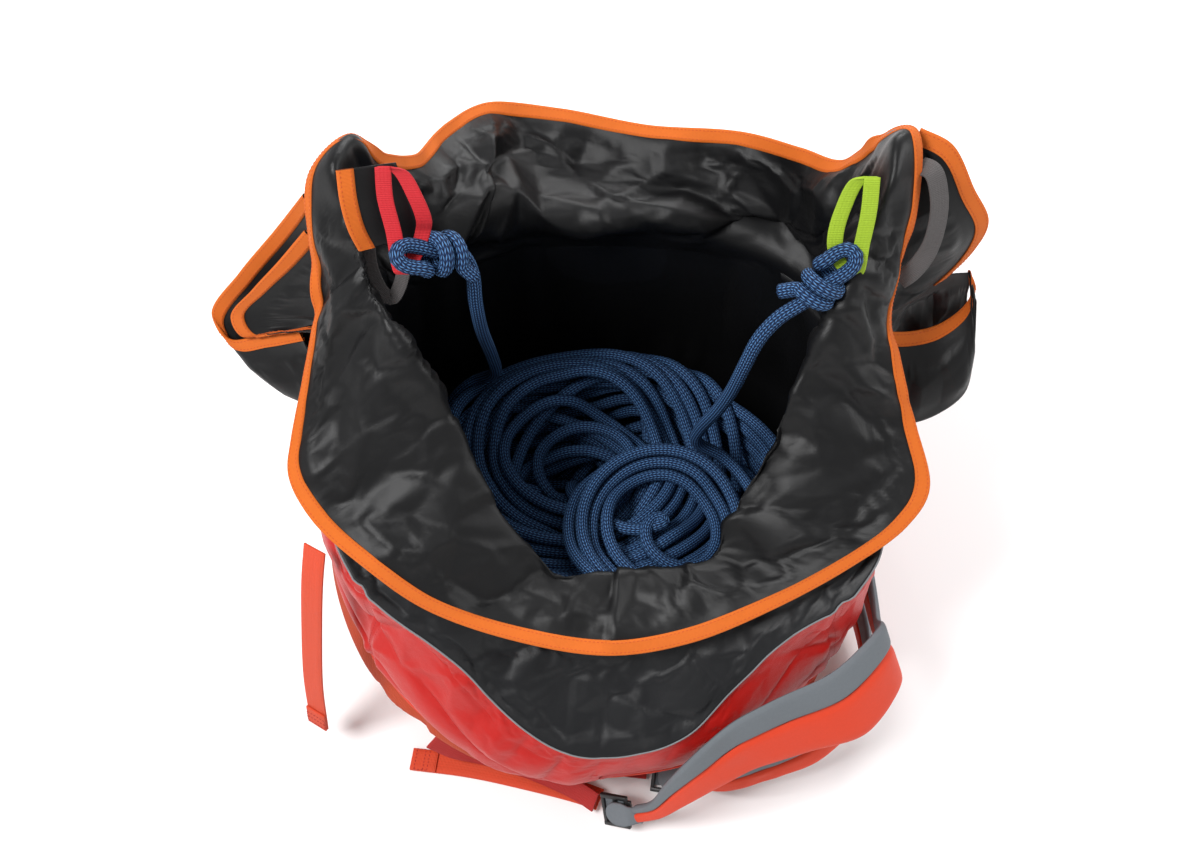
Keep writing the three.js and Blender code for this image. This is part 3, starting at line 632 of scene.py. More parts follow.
def settle(plan, fixed, last):
    """Heights for a rope laid along the plan, over whatever it has already laid there. fixed gives
    the heights that are known, and NaN elsewhere; what is in last is laid after the rest."""
    surface = Surface(PILE_FLOOR)
    window, tail, overlap = 45, 6, 16
    heights = np.zeros(len(plan))
    stamped = 0
    for start in range(0, len(plan), window):
        end = min(len(plan), start + window)
        raw = surface.rest_on(plan[start:end])
        known = ~np.isnan(fixed[start:end])
        raw[known] = fixed[start:end][known]
        back = max(0, start - overlap)
        eased = eased_heights(np.concatenate([heights[back:start], raw]))[start - back:]
        heights[start:end] = np.where(known, raw, eased)
        upto = end - tail if end < len(plan) else end
        ready = np.arange(stamped, upto)
        ready = ready[~last[ready]]
        surface.stamp(plan[ready], heights[ready])
        stamped = upto
    heights[last] = eased_heights(surface.rest_on(plan[last]))
    return heights


# Where each end is tied: the loop's eye, and where the run leaves the knot.
LEFT_KNOT = ((-133, 24, 468), (-97, 44, 447))
RIGHT_KNOT = ((172, 28, 456), (146, 14, 425))


def knot_path(eye, leave, lift):
    """From the rope's tail, two turns round the rope, along to the loop's eye, through it, and
    back inside the turns to where the run leaves."""
    eye, leave = np.array(eye, float), np.array(leave, float)
    axis = unit(leave - eye)
    side = unit(np.cross(axis, lift))
    up = np.cross(side, axis)
    long = np.linalg.norm(leave - eye)
    turns = np.linspace(0, 1, 30)
    angle = 2 * pi * KNOT_TURNS * turns + 0.6
    along = long * (0.80 - 0.50 * turns)
    wraps = (eye + axis * along[:, None]
             + KNOT_RADIUS * (np.cos(angle)[:, None] * side + np.sin(angle)[:, None] * up))
    tail = wraps[0] + axis * 12 + side * 9 - up * 4
    bight = [eye + axis * 9 + side * 10 + up * 2, eye - axis * 5 + side * 7, eye - axis * 11,
             eye - axis * 5 - side * 7, eye + axis * 8 - side * 6]
    through = [eye + axis * long * 0.5 - side * 2, eye + axis * long * 0.9]
    return np.vstack([tail, wraps, bight, through])


def rope_route():
    """The rope's whole centreline: knot, run, pile, run and knot."""
    edge = [(-170, 100, 146), (-204, 84, 128), (-214, 40, 84), (-212, -20, 48), (-186, -90, 26),
            (-120, -140, 20)]
    lead_in = resampled(spline(LEFT_RUN[-2:] + edge), step=ROPE_STEP)
    on_top = int((lead_in[:, 0] > TOP_OF_LEAD).sum())
    low = loose_loops(53, 15)
    swirl = coil_plan(11, (-24, 40), (154, 138), (30, 26), 200, 3, 5)
    curl = coil_plan(6.6, (56, -36), (26, 36), (90, 90), 220, 2, 9)
    lead_out = [(170, 10), (160, 44), (132, 42), (104, 34), (82, 34)]
    plan_points = [tuple(p) for p in np.vstack([low, swirl, curl])]
    plan = resampled(spline(list(lead_in[-1:, :2]) + plan_points + lead_out, 8), step=ROPE_STEP)
    plan = smoothed(np.vstack([lead_in[:-1, :2], eased_bends(inside_tub(plan, PILE_INSET), 40)]), 4)
    fixed = np.full(len(plan), np.nan)
    fixed[:len(lead_in) - 1] = lead_in[:-1, 2]
    last = np.arange(len(plan)) < on_top
    pile = np.column_stack([plan, settle(plan, fixed, last)])
    start = np.vstack([knot_path(*LEFT_KNOT, GRIP_LEAN), LEFT_RUN[1:-3]])
    rise = [place for place in RIGHT_RUN[::-1][3:-1] if place[2] > pile[-1, 2] + 16]
    finish = np.vstack([rise, knot_path(*RIGHT_KNOT, GRIP_LEAN)[::-1]])
    first = resampled(spline(np.vstack([start, pile[:3:2]]), 10)[:-10], step=ROPE_STEP)
    end = resampled(spline(np.vstack([pile[-3:], finish]), 10)[20:], step=ROPE_STEP)
    whole = resampled(np.vstack([first, pile, end]), step=ROPE_STEP)
    eased = eased_bends(smoothed(whole, 2.2), 27)
    loose = np.minimum(lengths_along(whole), lengths_along(whole[::-1])[::-1]) > 330
    share = np.convolve(loose, np.full(21, 1 / 21), mode="same")[:, None]
    return whole * (1 - share) + eased * share


def smoothed(line, spread):
    """The line with its bends eased, by a bell curve spread samples wide."""
    reach = ceil(3 * spread)
    kernel = np.exp(-0.5 * (np.arange(-reach, reach + 1) / spread) ** 2)
    kernel /= kernel.sum()
    padded = np.pad(line, ((reach, reach), (0, 0)), mode="reflect", reflect_type="odd")
    return np.stack([np.convolve(column, kernel, mode="valid") for column in padded.T], axis=1)


def eased_bends(line, least):
    """The line with most bends tighter than the least radius opened out, and the rest as it was."""
    line = np.array(line, float)
    for _ in range(EASING_ROUNDS):
        before, after = line[1:-1] - line[:-2], line[2:] - line[1:-1]
        short, long = np.linalg.norm(before, axis=1), np.linalg.norm(after, axis=1)
        cosine = (before * after).sum(axis=1) / np.maximum(short * long, 1e-9)
        radius = (short + long) / 2 / np.maximum(np.arccos(np.clip(cosine, -1, 1)), 1e-6)
        tight = np.clip(3 * (least - radius) / least, 0, 1)
        share = np.clip(np.convolve(tight, np.full(9, 0.25), mode="same"), 0, 1)[:, None]
        line[1:-1] += 0.5 * share * ((line[:-2] + line[2:]) / 2 - line[1:-1])
    return line


def add_rope(materials):
    line = resampled(rope_route(), step=ROPE_STEP)
    rope = tube_piece("rope", line, ROPE_DIAMETER / 2, materials["rope"])
    finish_piece(rope, "bag", "rope_sheath", "rope_pile", "rope_left_run", "rope_right_run",
                 "rope_left_knot", "rope_right_knot")


def finish_piece(piece, body, slot, *nodes):
    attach(piece, body)
    if nodes:
        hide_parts(*nodes)


# ---------------------------------------------------------------- stitches, tapes and webbing
def stitch_piece(name, rows, material, body, slot):
    """Short raised stitches along each row, a pair of a line and its normals."""
    shape = np.array([(-1, 0, 0), (-0.6, 1, 0), (-0.6, 0, 1), (-0.6, -1, 0), (0.6, 1, 0),
                      (0.6, 0, 1), (0.6, -1, 0), (1, 0, 0)], float)
    sides = [(0, 2, 1), (0, 3, 2), (1, 2, 5, 4), (2, 3, 6, 5), (4, 5, 7), (5, 6, 7)]
    points, faces = [], []
    for line, normals in rows:
        along = lengths_along(line)
        centres = np.arange(STITCH_PITCH / 2, along[-1], STITCH_PITCH)
        place, ahead, behind = (read_off(centres + by, along, line) for by in (0, 1, -1))
        up = unit(read_off(centres, along, normals))
        tangent = unit(ahead - behind)
        side = unit(np.cross(up, tangent))
        for p, t, s, n in zip(place, tangent, side, up):
            base = len(points) * len(shape)
            points.append(p + shape[:, :1] * t * STITCH_SIZE[0] + shape[:, 1:2] * s * STITCH_SIZE[1]
                          + shape[:, 2:] * n * STITCH_SIZE[2])
            faces += [tuple(base + k for k in face) for face in sides]
    piece = mesh_piece(name, np.vstack(points), faces, material)
    finish_piece(piece, body, slot)


def tape_section(width, thickness):
    """A folded tape's outline: (distance in from the edge, offset along the normal) pairs."""
    half = thickness / 2
    inward = np.linspace(width, half, 5)
    over = [(x, half) for x in inward]
    turn = np.linspace(pi / 2, -pi / 2, 7)[1:-1]
    round_edge = [(half * (1 - cos(a)), half * sin(a)) for a in turn]
    return over + round_edge + [(x, -half) for x in inward[::-1]]


def edge_binding(name, grid, materials, nodes, ring=False):
    """An orange tape folded over a cloth's last row, with its two rows of stitches on each face.
    The grid's rows run to the edge."""
    edge = grid[:, -1]
    depth = np.linalg.norm(grid - edge[:, None], axis=2).mean(axis=0)
    inner = grid[:, np.argmin(np.abs(depth - BINDING_WIDTH))]
    inward = unit(inner - edge)
    if ring:
        along = np.roll(edge, -1, axis=0) - np.roll(edge, 1, axis=0)
    else:
        along = np.gradient(edge, axis=0)
    normal = unit(np.cross(along, -inward))
    edge = edge - inward * 0.8
    section = tape_section(BINDING_WIDTH, BINDING_THICKNESS)
    tape = np.stack([edge + inward * d + normal * n for d, n in section], axis=1)
    tape = np.concatenate([tape, tape[:, :1]], axis=1)
    piece = grid_piece(name, tape, materials["orange"], ring=ring)
    finish_piece(piece, "bag", "orange_binding", *nodes)
    rows = []
    for depth in (2.4, BINDING_WIDTH - 2.0):
        for face in (1, -1):
            line = edge + inward * depth + normal * face * (BINDING_THICKNESS / 2)
            up = normal * face
            rows.append((closed(line), closed(up)) if ring else (line, up))
    stitch_piece(name + "_stitches", rows, materials["thread"], "bag", "orange_binding")


def ribbon_grid(points, width, facing, step=4.0):
    """A flat ribbon along a centreline, its width lying across the facing direction."""
    line = resampled(spline(points, 10), step=step)
    tangent = unit(np.gradient(line, axis=0))
    side = unit(np.cross(tangent, np.broadcast_to(np.array(facing, float), tangent.shape)))
    shares = np.linspace(-0.5, 0.5, 5)
    return line[:, None] + shares[None, :, None] * width * side[:, None]


def wear_edges(piece):
    bevel = piece.modifiers.new("worn_edge", "BEVEL")
    bevel.width = 0.3 * MM
    bevel.segments = 1


def webbing_piece(name, grid, material, body, slot, nodes=(), thickness=1.8, ring=False):
    piece = grid_piece(name, grid, material, ring=ring, thickness=thickness)
    wear_edges(piece)
    finish_piece(piece, body, slot, *nodes)


def hem_end(name, grid, length, body, side, materials):
    """The last stretch of a webbing turned back on itself and sewn down with a box of stitches."""
    along = np.linalg.norm(np.diff(grid[:, 0], axis=0), axis=1)[::-1].cumsum()
    count = int(np.searchsorted(along, length)) + 2
    end = grid[-count:]
    normal = grid_normals(end) * side
    lifted = end + normal * 2.0
    webbing_piece(name, lifted, materials["webbing"], body, "coral_webbing")
    top = lifted + normal * 1.1
    across = grid.shape[1] // 2
    middle = top[count // 2, :]
    rows = [(top[2, :], normal[2, :]), (top[-2, :], normal[-2, :])]
    for edge, inner in ((0, 1), (-1, -2)):
        rows.append((top[2:-1, edge] * 0.9 + top[2:-1, inner] * 0.1, normal[2:-1, edge]))
    rows.append((middle, np.broadcast_to(normal[count // 2, across], middle.shape)))
    stitch_piece(name + "_stitches", rows, materials["red_thread"], body, "coral_webbing")


def two_edges(edge_a, edge_b, columns, rows):
    """A grid between two matched curves."""
    a, b = (resampled_by_index(spline(edge, 20), columns) for edge in (edge_a, edge_b))
    share = np.linspace(0, 1, rows)[None, :, None]
    return a[:, None] * (1 - share) + b[:, None] * share


def resampled_by_index(line, count):
    return read_off(np.linspace(0, len(line) - 1, count), np.arange(len(line)), line)


# ---------------------------------------------------------------- cloth simulation
CLOTH_STIFFNESS = 12.0
CLOTH_BENDING = 0.35
CLOTH_MASS = 0.15
PIN_STIFFNESS = 5


def crumpled_by_cloth(grid, hold, growth, cap, ring=True, frames=22):
    """The grid after a cloth simulation in which the cloth is growth too large for its form, so it
    buckles between the points that hold keeps still (1 for fixed). No point moves over cap mm."""
    piece = grid_piece("cloth_trial", grid, bpy.data.materials.new("trial"), ring=ring)
    mesh = piece.data
    group = piece.vertex_groups.new(name="held")
    for level in np.unique(np.round(hold.ravel(), 2)):
        if level > 0:
            chosen = np.flatnonzero(np.round(hold.ravel(), 2) == level)
            group.add(chosen.tolist(), float(level), "REPLACE")
    cloth = piece.modifiers.new("cloth", "CLOTH")
    cloth.settings.quality = 4
    cloth.settings.mass = CLOTH_MASS
    cloth.settings.tension_stiffness = CLOTH_STIFFNESS
    cloth.settings.compression_stiffness = CLOTH_STIFFNESS
    cloth.settings.shear_stiffness = CLOTH_STIFFNESS / 3
    cloth.settings.bending_stiffness = CLOTH_BENDING
    cloth.settings.vertex_group_mass = "held"
    cloth.settings.pin_stiffness = PIN_STIFFNESS
    cloth.settings.shrink_min = -growth
    cloth.settings.effector_weights.gravity = 0
    cloth.point_cache.frame_start = 1
    cloth.point_cache.frame_end = frames
    for frame_number in range(1, frames + 1):
        bpy.context.scene.frame_set(frame_number)
    settled = piece.evaluated_get(bpy.context.evaluated_depsgraph_get()).to_mesh()
    found = np.empty(len(mesh.vertices) * 3)
    settled.vertices.foreach_get("co", found)
    bpy.context.scene.frame_set(1)
    bpy.data.objects.remove(piece)
    move = found.reshape(grid.shape) / MM - grid
    size = np.linalg.norm(move, axis=2, keepdims=True)
    return grid + move * np.minimum(1, cap * np.tanh(size / cap) / np.maximum(size, 1e-6))


# ---------------------------------------------------------------- shell, base and lining
SHELL_COLUMNS = 540
PANEL_SEAMS = (52.5, 127.5, 232.5, 307.5)  # degrees round from the front centre


SHELL_INSET = -0.5
SHELL_SINK = 3.5  # the furthest the cloth may lie inside its plain form
OPEN_ROOM = 15  # the room it has away from the straps
CORNER_ANGLE = 66
CORNER_SPREAD = 24
CORNER_STAND = 16

# How far the shell's and the base's cloth may stand out, in millimetres, at degrees round the tub.
# Less room is left where the shoulder straps and their locks come close as they swing.
SHELL_ROOM = ((-6, 2, 8, 14, 20, 26, 32, 38, 44, 50, 58, 66, 74),
              (15, 4, 0.5, 2.5, 4, 4.5, 2, 3, 6, 13, 17, 13, 16))
BASE_ROOM = ((-4, 6, 46, 56, 66, 72, 88, 94), (9, 1, 1, 9, 9, 2, 2, 9))

# The base's pleats: degrees round the tub, and how far each leans, in degrees a millimetre up.
BASE_PLEATS = ((-52, 0.10), (-36, 0.06), (-64, -0.07), (-18, 0.08), (34, -0.05), (61, -0.08))
BASE_SINK = 4.5


def degrees_past(angle, centre=0):
    """How far round an angle is past the centre, from -180 to 180."""
    return np.degrees((angle - radians(centre) + pi) % (2 * pi) - pi)


def lattice_round(columns, rows):
    """The angle round the tub and the share of the way up, for each point of a grid."""
    angle = np.linspace(0, 2 * pi, columns, endpoint=False)
    return np.meshgrid(angle, np.linspace(0, 1, rows), indexing="ij")


def corner_fullness(angle, height):
    """How full the cloth is, from 0 to 1, beside the straps at the right front corner."""
    away = degrees_past(angle, CORNER_ANGLE)
    return np.exp(-((away / CORNER_SPREAD) ** 2)) * smoothstep(110, 190, height)


def shell_folds(angle, height):
    """How far the shell's cloth stands out of its plain form."""
    below = rim_height(angle) - height
    front = smoothstep(-0.35, 0.35, np.cos(angle))
    round_mm = np.degrees(angle) * 3.6
    wander = 0.7 * value_noise(round_mm / 120, below / 70, 3) + round_mm / 700
    long_folds = np.abs(np.sin(pi * below / 44 + wander)) ** 0.6 * 8.5 * np.exp(-below / 260)
    pinch = np.exp(-((degrees_past(angle) - 3) / 16) ** 2) * np.exp(-below / 70)
    gathers = pinch * 3.0 * np.abs(np.sin(round_mm / 9 + below / 24))
    creases = 0.16 * crumple(round_mm, height, 70, 21, 0.5)
    soft = 2.4 * value_noise(round_mm / 85, height / 60, 8)
    return (front * (long_folds + gathers) + creases + soft) * (smoothstep(0, 26, below) * 0.8 + 0.2)


def add_shell(materials):
    a, s = lattice_round(SHELL_COLUMNS, 56)
    low, top = base_top(a), rim_height(a)
    height = low + (top - low) * s
    seam = np.min([np.abs((np.degrees(a) - d + 180) % 360 - 180) for d in PANEL_SEAMS], axis=0)
    welt = -2.2 * np.exp(-((seam / 0.9) ** 2)) + 0.8 * np.exp(-(((seam - 2) / 0.9) ** 2))
    plain = tub_point(a, height, SHELL_INSET)
    normal = grid_normals(plain, ring=True)
    outward = np.sign((normal * (plain * (1, 1, 0))).sum(axis=2))[..., None]
    near_base = smoothstep(0, 0.25, s)
    corner = corner_fullness(a, height)
    stand = shell_folds(a, height) * near_base * (1 - 0.6 * corner) + CORNER_STAND * corner
    grid = plain + normal * outward * stand[..., None]
    hold = np.clip(1 - smoothstep(0, 0.08, s) + smoothstep(0.94, 1, s), 0, 1)
    grid = crumpled_by_cloth(grid, hold, 0.03, 6)
    room = np.interp(degrees_past(a), *SHELL_ROOM)
    out_by = ((grid - plain) * normal * outward).sum(axis=2)
    share = np.minimum(1, (room + SHELL_SINK) / (OPEN_ROOM + SHELL_SINK))
    kept = (np.maximum(out_by, -SHELL_SINK) + SHELL_SINK) * share - SHELL_SINK
    kept = np.minimum(kept, room)
    grid = grid + normal * outward * (welt + kept - out_by)[..., None]
    piece = grid_piece("red_shell", grid, materials["red"], ring=True, thickness=1.6)
    finish_piece(piece, "bag", "red_nylon", "front_panel", "right_end_panel", "rear_panel",
                 "left_end_panel")
    seams = []
    for degrees in PANEL_SEAMS:
        for aside in (-2.2, 2.2):
            k = int(round((degrees + aside / 3.6) / 360 * SHELL_COLUMNS)) % SHELL_COLUMNS
            seams.append((grid[k] + normal[k] * outward[k] * 0.8, normal[k] * outward[k]))
    stitch_piece("shell_stitches", seams, materials["red_thread"], "bag", "red_nylon")
    return grid


def add_rim(shell_grid, materials):
    top = shell_grid[:, -1] + (0, 0, 0.6)
    piece = tube_piece("rim_cord", closed(top), 1.6, materials["piping"], sides=8)
    finish_piece(piece, "bag", "rim_piping", "rim_piping")
    seam = shell_grid[:, 0] * (1.004, 1.004, 1)
    piece = tube_piece("base_seam", closed(seam), 1.5, materials["piping"], sides=8)
    finish_piece(piece, "bag", "rim_piping")


def add_base(materials):
    a, s = lattice_round(480, 30)
    height = base_top(a) * s
    round_mm = np.degrees(a) * 3.6
    grid = tub_point(a, height, 1.2)
    normal = grid_normals(grid, ring=True)
    normal *= np.sign((normal * grid).sum(axis=2))[..., None]
    folds = 2.4 * value_noise(round_mm / 60, height / 45, 31)
    folds = folds + 0.5 * crumple(round_mm, height, 58, 33)
    pleat = sum(-7 * np.exp(-(((np.degrees(a) - degrees + height * lean) / 2.2) ** 2))
                for degrees, lean in BASE_PLEATS)
    loose = smoothstep(0.05, 0.4, s) * (1 - 0.8 * smoothstep(0.85, 1, s))
    most = np.interp(degrees_past(a), *BASE_ROOM)
    grid = grid + normal * (np.clip(folds + pleat, -BASE_SINK, most) * loose)[..., None]
    grid[..., 2] = np.maximum(grid[..., 2], 1.4)
    rim = grid[:, :1]
    floor = [rim * (1 - k, 1 - k, 1) for k in (0.02, 0.1, 0.4, 0.8)]
    grid = np.concatenate(floor[::-1] + [grid], axis=1)
    grid[:, :4, 2] = 1.0
    piece = grid_piece("base_shell", grid, materials["rust"], ring=True, thickness=1.8)
    finish_piece(piece, "bag", "rust_fabric", "base_panel")


def add_liner(materials):
    """The lining inside the walls, down to a floor."""
    a, s = lattice_round(240, 24)
    height = 6 + (rim_height(a) - 6) * s
    grid = tub_point(a, height, 9.0)
    floor = [grid[:, :1] * (1 - k, 1 - k, 1) for k in (0.95, 0.5, 0.1)]
    grid = np.concatenate(floor + [grid], axis=1)
    piece = grid_piece("inner_lining", grid, materials["lining"], ring=True, thickness=0.8)
    finish_piece(piece, "bag", "black_lining", "liner")


# ---------------------------------------------------------------- tarp
# Ridge and edge of the tarp at matching stations round the mouth, from the front centre
# towards +X. The grips are the two high points.
STATIONS = [
    ((14, -112, 250), (8, -176, 232)), ((50, -111, 251), (70, -168, 238)),
    ((82, -107, 256), (131, -149, 256)), ((97, -88, 274), (188, -128, 286)),
    ((110, -68, 295), (230, -103, 304)), ((126, -48, 325), (249, -76, 314)),
    ((144, -26, 360), (241, -33, 334)), ((162, -4, 395), (230, -9, 357)),
    ((178, 17, 430), (219, 22, 388)), ((191, 42, 472), (220, 45, 424)),
    ((203, 66, 505), (225, 62, 468)), ((204, 90, 512), (224, 105, 506)),
    ((194, 112, 455), (204, 135, 472)), ((176, 126, 385), (187, 158, 422)),
    ((138, 148, 340), (162, 190, 402)), ((98, 164, 325), (117, 227, 383)),
    ((40, 174, 316), (43, 246, 371)), ((-30, 176, 316), (-34, 266, 371)),
    ((-84, 168, 324), (-94, 262, 382)), ((-120, 152, 345), (-126, 222, 398)),
    ((-142, 130, 390), (-142, 168, 420)), ((-158, 108, 450), (-156, 126, 462)),
    ((-172, 88, 508), (-178, 103, 505)), ((-181, 66, 514), (-204, 79, 492)),
    ((-176, 44, 485), (-211, 56, 452)), ((-166, 20, 456), (-212, 30, 404)),
    ((-155, 2, 428), (-225, -4, 360)), ((-140, -12, 398), (-234, -39, 334)),
    ((-120, -26, 360), (-236, -66, 318)), ((-102, -46, 330), (-217, -97, 304)),
    ((-84, -72, 300), (-175, -131, 290)), ((-62, -96, 270), (-131, -152, 262)),
    ((-28, -110, 252), (-62, -169, 242)),
]
PER_STATION = 15
TARP_INSET = 12.5
LEAVE_DEPTH = 20
FUNNEL_ROWS = 72
WALL_ROWS = 14
GRIPS = (10.6, 22.8)  # stations round from the front centre


def mouth_lines():
    ridge = spline([r for r, _ in STATIONS], PER_STATION, closed=True)
    edge = spline([e for _, e in STATIONS], PER_STATION, closed=True)
    return ridge, edge


def plain_tarp():
    """The tarp without its wrinkles: up the wall, over the ridge and out to the edge."""
    ridge, edge = mouth_lines()
    angle = np.arctan2(ridge[:, 0], -ridge[:, 1])
    leave = rim_height(angle) - LEAVE_DEPTH * (1 + np.maximum(0, np.cos(angle)))
    columns = []
    for a, top, r, e in zip(angle, leave, ridge, edge):
        share = np.linspace(0, 1, WALL_ROWS)
        wall = tub_point(a, 10 + (top - 10) * share, TARP_INSET + 12 * (1 - share) ** 4)
        flap = (r + e) / 2 + (0, 0, 4)
        fall = resampled(spline([wall[-1], r, flap, e], 24), count=FUNNEL_ROWS)
        columns.append(np.vstack([wall[:-1], fall]))
    return np.array(columns)


def add_tarp(materials):
    grid = plain_tarp()
    station = np.arange(len(grid)) / PER_STATION
    to_edge = np.linalg.norm(np.diff(grid, axis=1), axis=2)
    v = np.concatenate([to_edge[:, ::-1].cumsum(axis=1)[:, ::-1], np.zeros((len(grid), 1))], axis=1)
    u = np.broadcast_to((station * 52)[:, None], v.shape)
    t = np.broadcast_to(station[:, None], v.shape)
    rear = smoothstep(11.6, 13.4, t) * (1 - smoothstep(20.2, 21.8, t))
    front = 1 - smoothstep(3.2, 5.0, t) + smoothstep(28.6, 30.4, t)
    side = 1 - np.clip(rear + front, 0, 1)
    free = smoothstep(0, 22, v)
    deep = 1 - smoothstep(240, 420, v)
    big = crumple(u, v * 1.1, 88, 41, 0.55)
    fine = crumple(u, v, 36, 42, 0.5)
    push = rear * free * deep * (0.42 * big + 0.5 * fine)
    push += front * free * deep * (3.4 * value_noise(u / 34, v / 130, 44) + 0.25 * fine)
    push += side * free * deep * (0.12 * big + 0.15 * fine + 3 * value_noise(u / 60, v / 150, 45))
    for grip in GRIPS:
        away = np.hypot((t - grip) * 40, v)
        fan = np.arctan2(v + 8, (t - grip) * 40)
        spread = np.exp(-away / 110) * smoothstep(6, 40, away)
        push += 6 * spread * np.sin(fan * 9 + 2 * value_noise(u / 30, v / 60, 46))
    pucker = 0.9 * value_noise(u / 9, v / 90, 47) + 0.9 * value_noise(u / 19, v / 90, 48)
    pucker = np.exp(-v / 20) * pucker
    push += pucker * smoothstep(11, 16, v)
    at_grip = sum(np.exp(-((t - grip) / 1.3) ** 4) for grip in GRIPS) * (v < 90)
    push *= 1 - at_grip
    angle = np.arctan2(grid[..., 0], -grid[..., 1])
    within = 1 - smoothstep(rim_height(angle) - 10, rim_height(angle) + 25, grid[..., 2])
    push *= 1 - within
    plain = grid
    grid = grid + grid_normals(grid, ring=True) * push[..., None]
    hold = np.clip(1 - smoothstep(13, 24, v) + at_grip + smoothstep(330, 420, v), 0, 1)
    grid = crumpled_by_cloth(grid, hold, 0.035, 14)
    outward = unit(plain * (1, 1, 0))
    out_by = ((grid - plain) * outward).sum(axis=2)
    grid = grid - outward * (np.maximum(out_by - 3, 0) * within)[..., None]
    piece = grid_piece("tarp_cloth", grid, materials["tarp"], ring=True, thickness=0.7)
    nodes = [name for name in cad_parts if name.startswith("tarp") and name != "tarp_binding"]
    finish_piece(piece, "bag", "black_tarp", *nodes)
    edge_binding("tarp_hem", grid, materials, ["tarp_binding"], ring=True)


SKIRT_REACH = 106  # degrees round each way from the front centre
SKIRT_TOP = 0.62  # the share of the way from the rim to the tarp's ridge


def add_skirt(shell_grid, materials):
    """The lining that shows between the rim and the tarp's front edge. Its foot lies on the rim."""
    degrees = np.linspace(-SKIRT_REACH, SKIRT_REACH, 240)
    angle = np.radians(degrees)
    round_it = np.linspace(0, 2 * pi, SHELL_COLUMNS, endpoint=False)
    top = shell_grid[:, -1]
    foot = read_off(angle, round_it, top, period=2 * pi)
    foot = foot + unit(foot * (1, 1, 0)) * 1.2 + (0, 0, 2.6)
    ridge, _ = mouth_lines()
    turn = np.arctan2(ridge[:, 0], -ridge[:, 1])
    order = np.argsort(turn)
    head = read_off(angle, turn[order], ridge[order])
    share = np.linspace(0, SKIRT_TOP, 40)
    grid = foot[:, None] * (1 - share[None, :, None]) + head[:, None] * share[None, :, None]
    a, s = np.meshgrid(degrees, share, indexing="ij")
    sag = -4 * np.sin(pi * s / SKIRT_TOP) * np.exp(-(a / 60) ** 2)
    folds = 2.2 * value_noise(a / 9, s * 4, 51) + 0.12 * crumple(a * 3.6, s * 200, 60, 52)
    normal = grid_normals(grid)
    normal *= np.sign(normal[..., 2:])
    grid = grid + normal * (sag + folds * smoothstep(0, 0.1, s))[..., None]
    hold = np.clip(1 - smoothstep(0, 0.08, s) + smoothstep(0.5, SKIRT_TOP, s), 0, 1)
    grid = crumpled_by_cloth(grid, hold, 0.03, 7, ring=False, frames=16)
    piece = grid_piece("lining_skirt", grid, materials["lining"], thickness=0.8)
    finish_piece(piece, "bag", "black_lining", "front_skirt")
    line = grid[:, 0][np.abs(degrees) < 92]
    seam = tube_piece("lining_edge_tape", line, 0.8, materials["lining_edge"], sides=6)
    finish_piece(seam, "bag", "black_lining")


# ---------------------------------------------------------------- folds outside the grips
# Each fold: its name, the CAD nodes its cloth and its binding stand for, its free edge, its root,
# how far it swells, and 1 if its edge is bound.
FOLDS = [
    ("left_fold", ["left_fold"], ["left_fold_binding"],
     [(-222, 106, 440), (-254, 112, 392), (-290, 104, 350), (-320, 90, 312), (-306, 74, 300),
      (-278, 72, 308), (-246, 72, 318)],
     [(-206, 84, 392), (-214, 80, 350), (-230, 72, 310), (-262, 52, 272), (-250, 40, 258),
      (-234, 30, 262), (-218, 26, 280)], 7, 1),
    ("left_fold_lip", [], [],
     [(-226, 98, 408), (-252, 94, 376), (-278, 88, 348), (-300, 80, 323), (-293, 70, 310),
      (-268, 68, 316), (-236, 66, 328)],
     [(-200, 82, 380), (-204, 78, 362), (-210, 74, 350), (-216, 70, 340), (-216, 66, 334),
      (-214, 62, 332), (-210, 60, 332)], 2, 1),
    ("right_fold", ["right_fold"], ["right_fold_binding"],
     [(228, 112, 502), (250, 102, 496), (272, 92, 462), (290, 88, 430), (286, 86, 400), (270, 80, 374)],
     [(220, 98, 474), (222, 86, 452), (224, 76, 428), (224, 70, 400), (224, 66, 372), (224, 62, 350)],
     5, 1),
    ("right_fold_pouch", [], [],
     [(290, 88, 372), (297, 84, 358), (292, 77, 341), (273, 69, 326), (248, 64, 323), (222, 60, 330)],
     [(300, 76, 348), (304, 52, 304), (300, 34, 280), (278, 22, 265), (252, 16, 260), (222, 14, 268)],
     -7, 1),
    ("right_fold_inside", [], [],
     [(224, 64, 352), (246, 74, 366), (270, 82, 374), (291, 88, 370)],
     [(224, 60, 296), (250, 66, 296), (276, 73, 308), (297, 79, 331)], -6, 0),
]


def add_fold(name, cloth_nodes, hem_nodes, edge, root, swell, hemmed, seed, materials):
    columns, rows = 150, 44
    grid = two_edges(root, edge, columns, rows)
    a, s = np.meshgrid(np.linspace(0, 1, columns), np.linspace(0, 1, rows), indexing="ij")
    belly = swell * np.sin(pi * s) * np.sin(pi * a) ** 0.6
    folds = 2.4 * value_noise(a * 7, s * 2, seed) + 0.1 * crumple(a * 260, s * 90, 40, seed + 1)
    gathers = 1.6 * np.abs(value_noise(a * 26, s * 1.2, seed + 2)) * smoothstep(0.35, 0.8, s)
    free = smoothstep(0, 0.2, s) * (1 - smoothstep(0.55, 0.72, s))
    grid = grid + grid_normals(grid) * (belly + (folds + gathers) * free)[..., None]
    piece = grid_piece(name + "_cloth", grid, materials["tarp"], thickness=0.7)
    finish_piece(piece, "bag", "black_tarp", *cloth_nodes)
    if hemmed:
        edge_binding(name + "_hem", grid, materials, hem_nodes)


# ---------------------------------------------------------------- grips
LOOP_WIDTH = 11.0


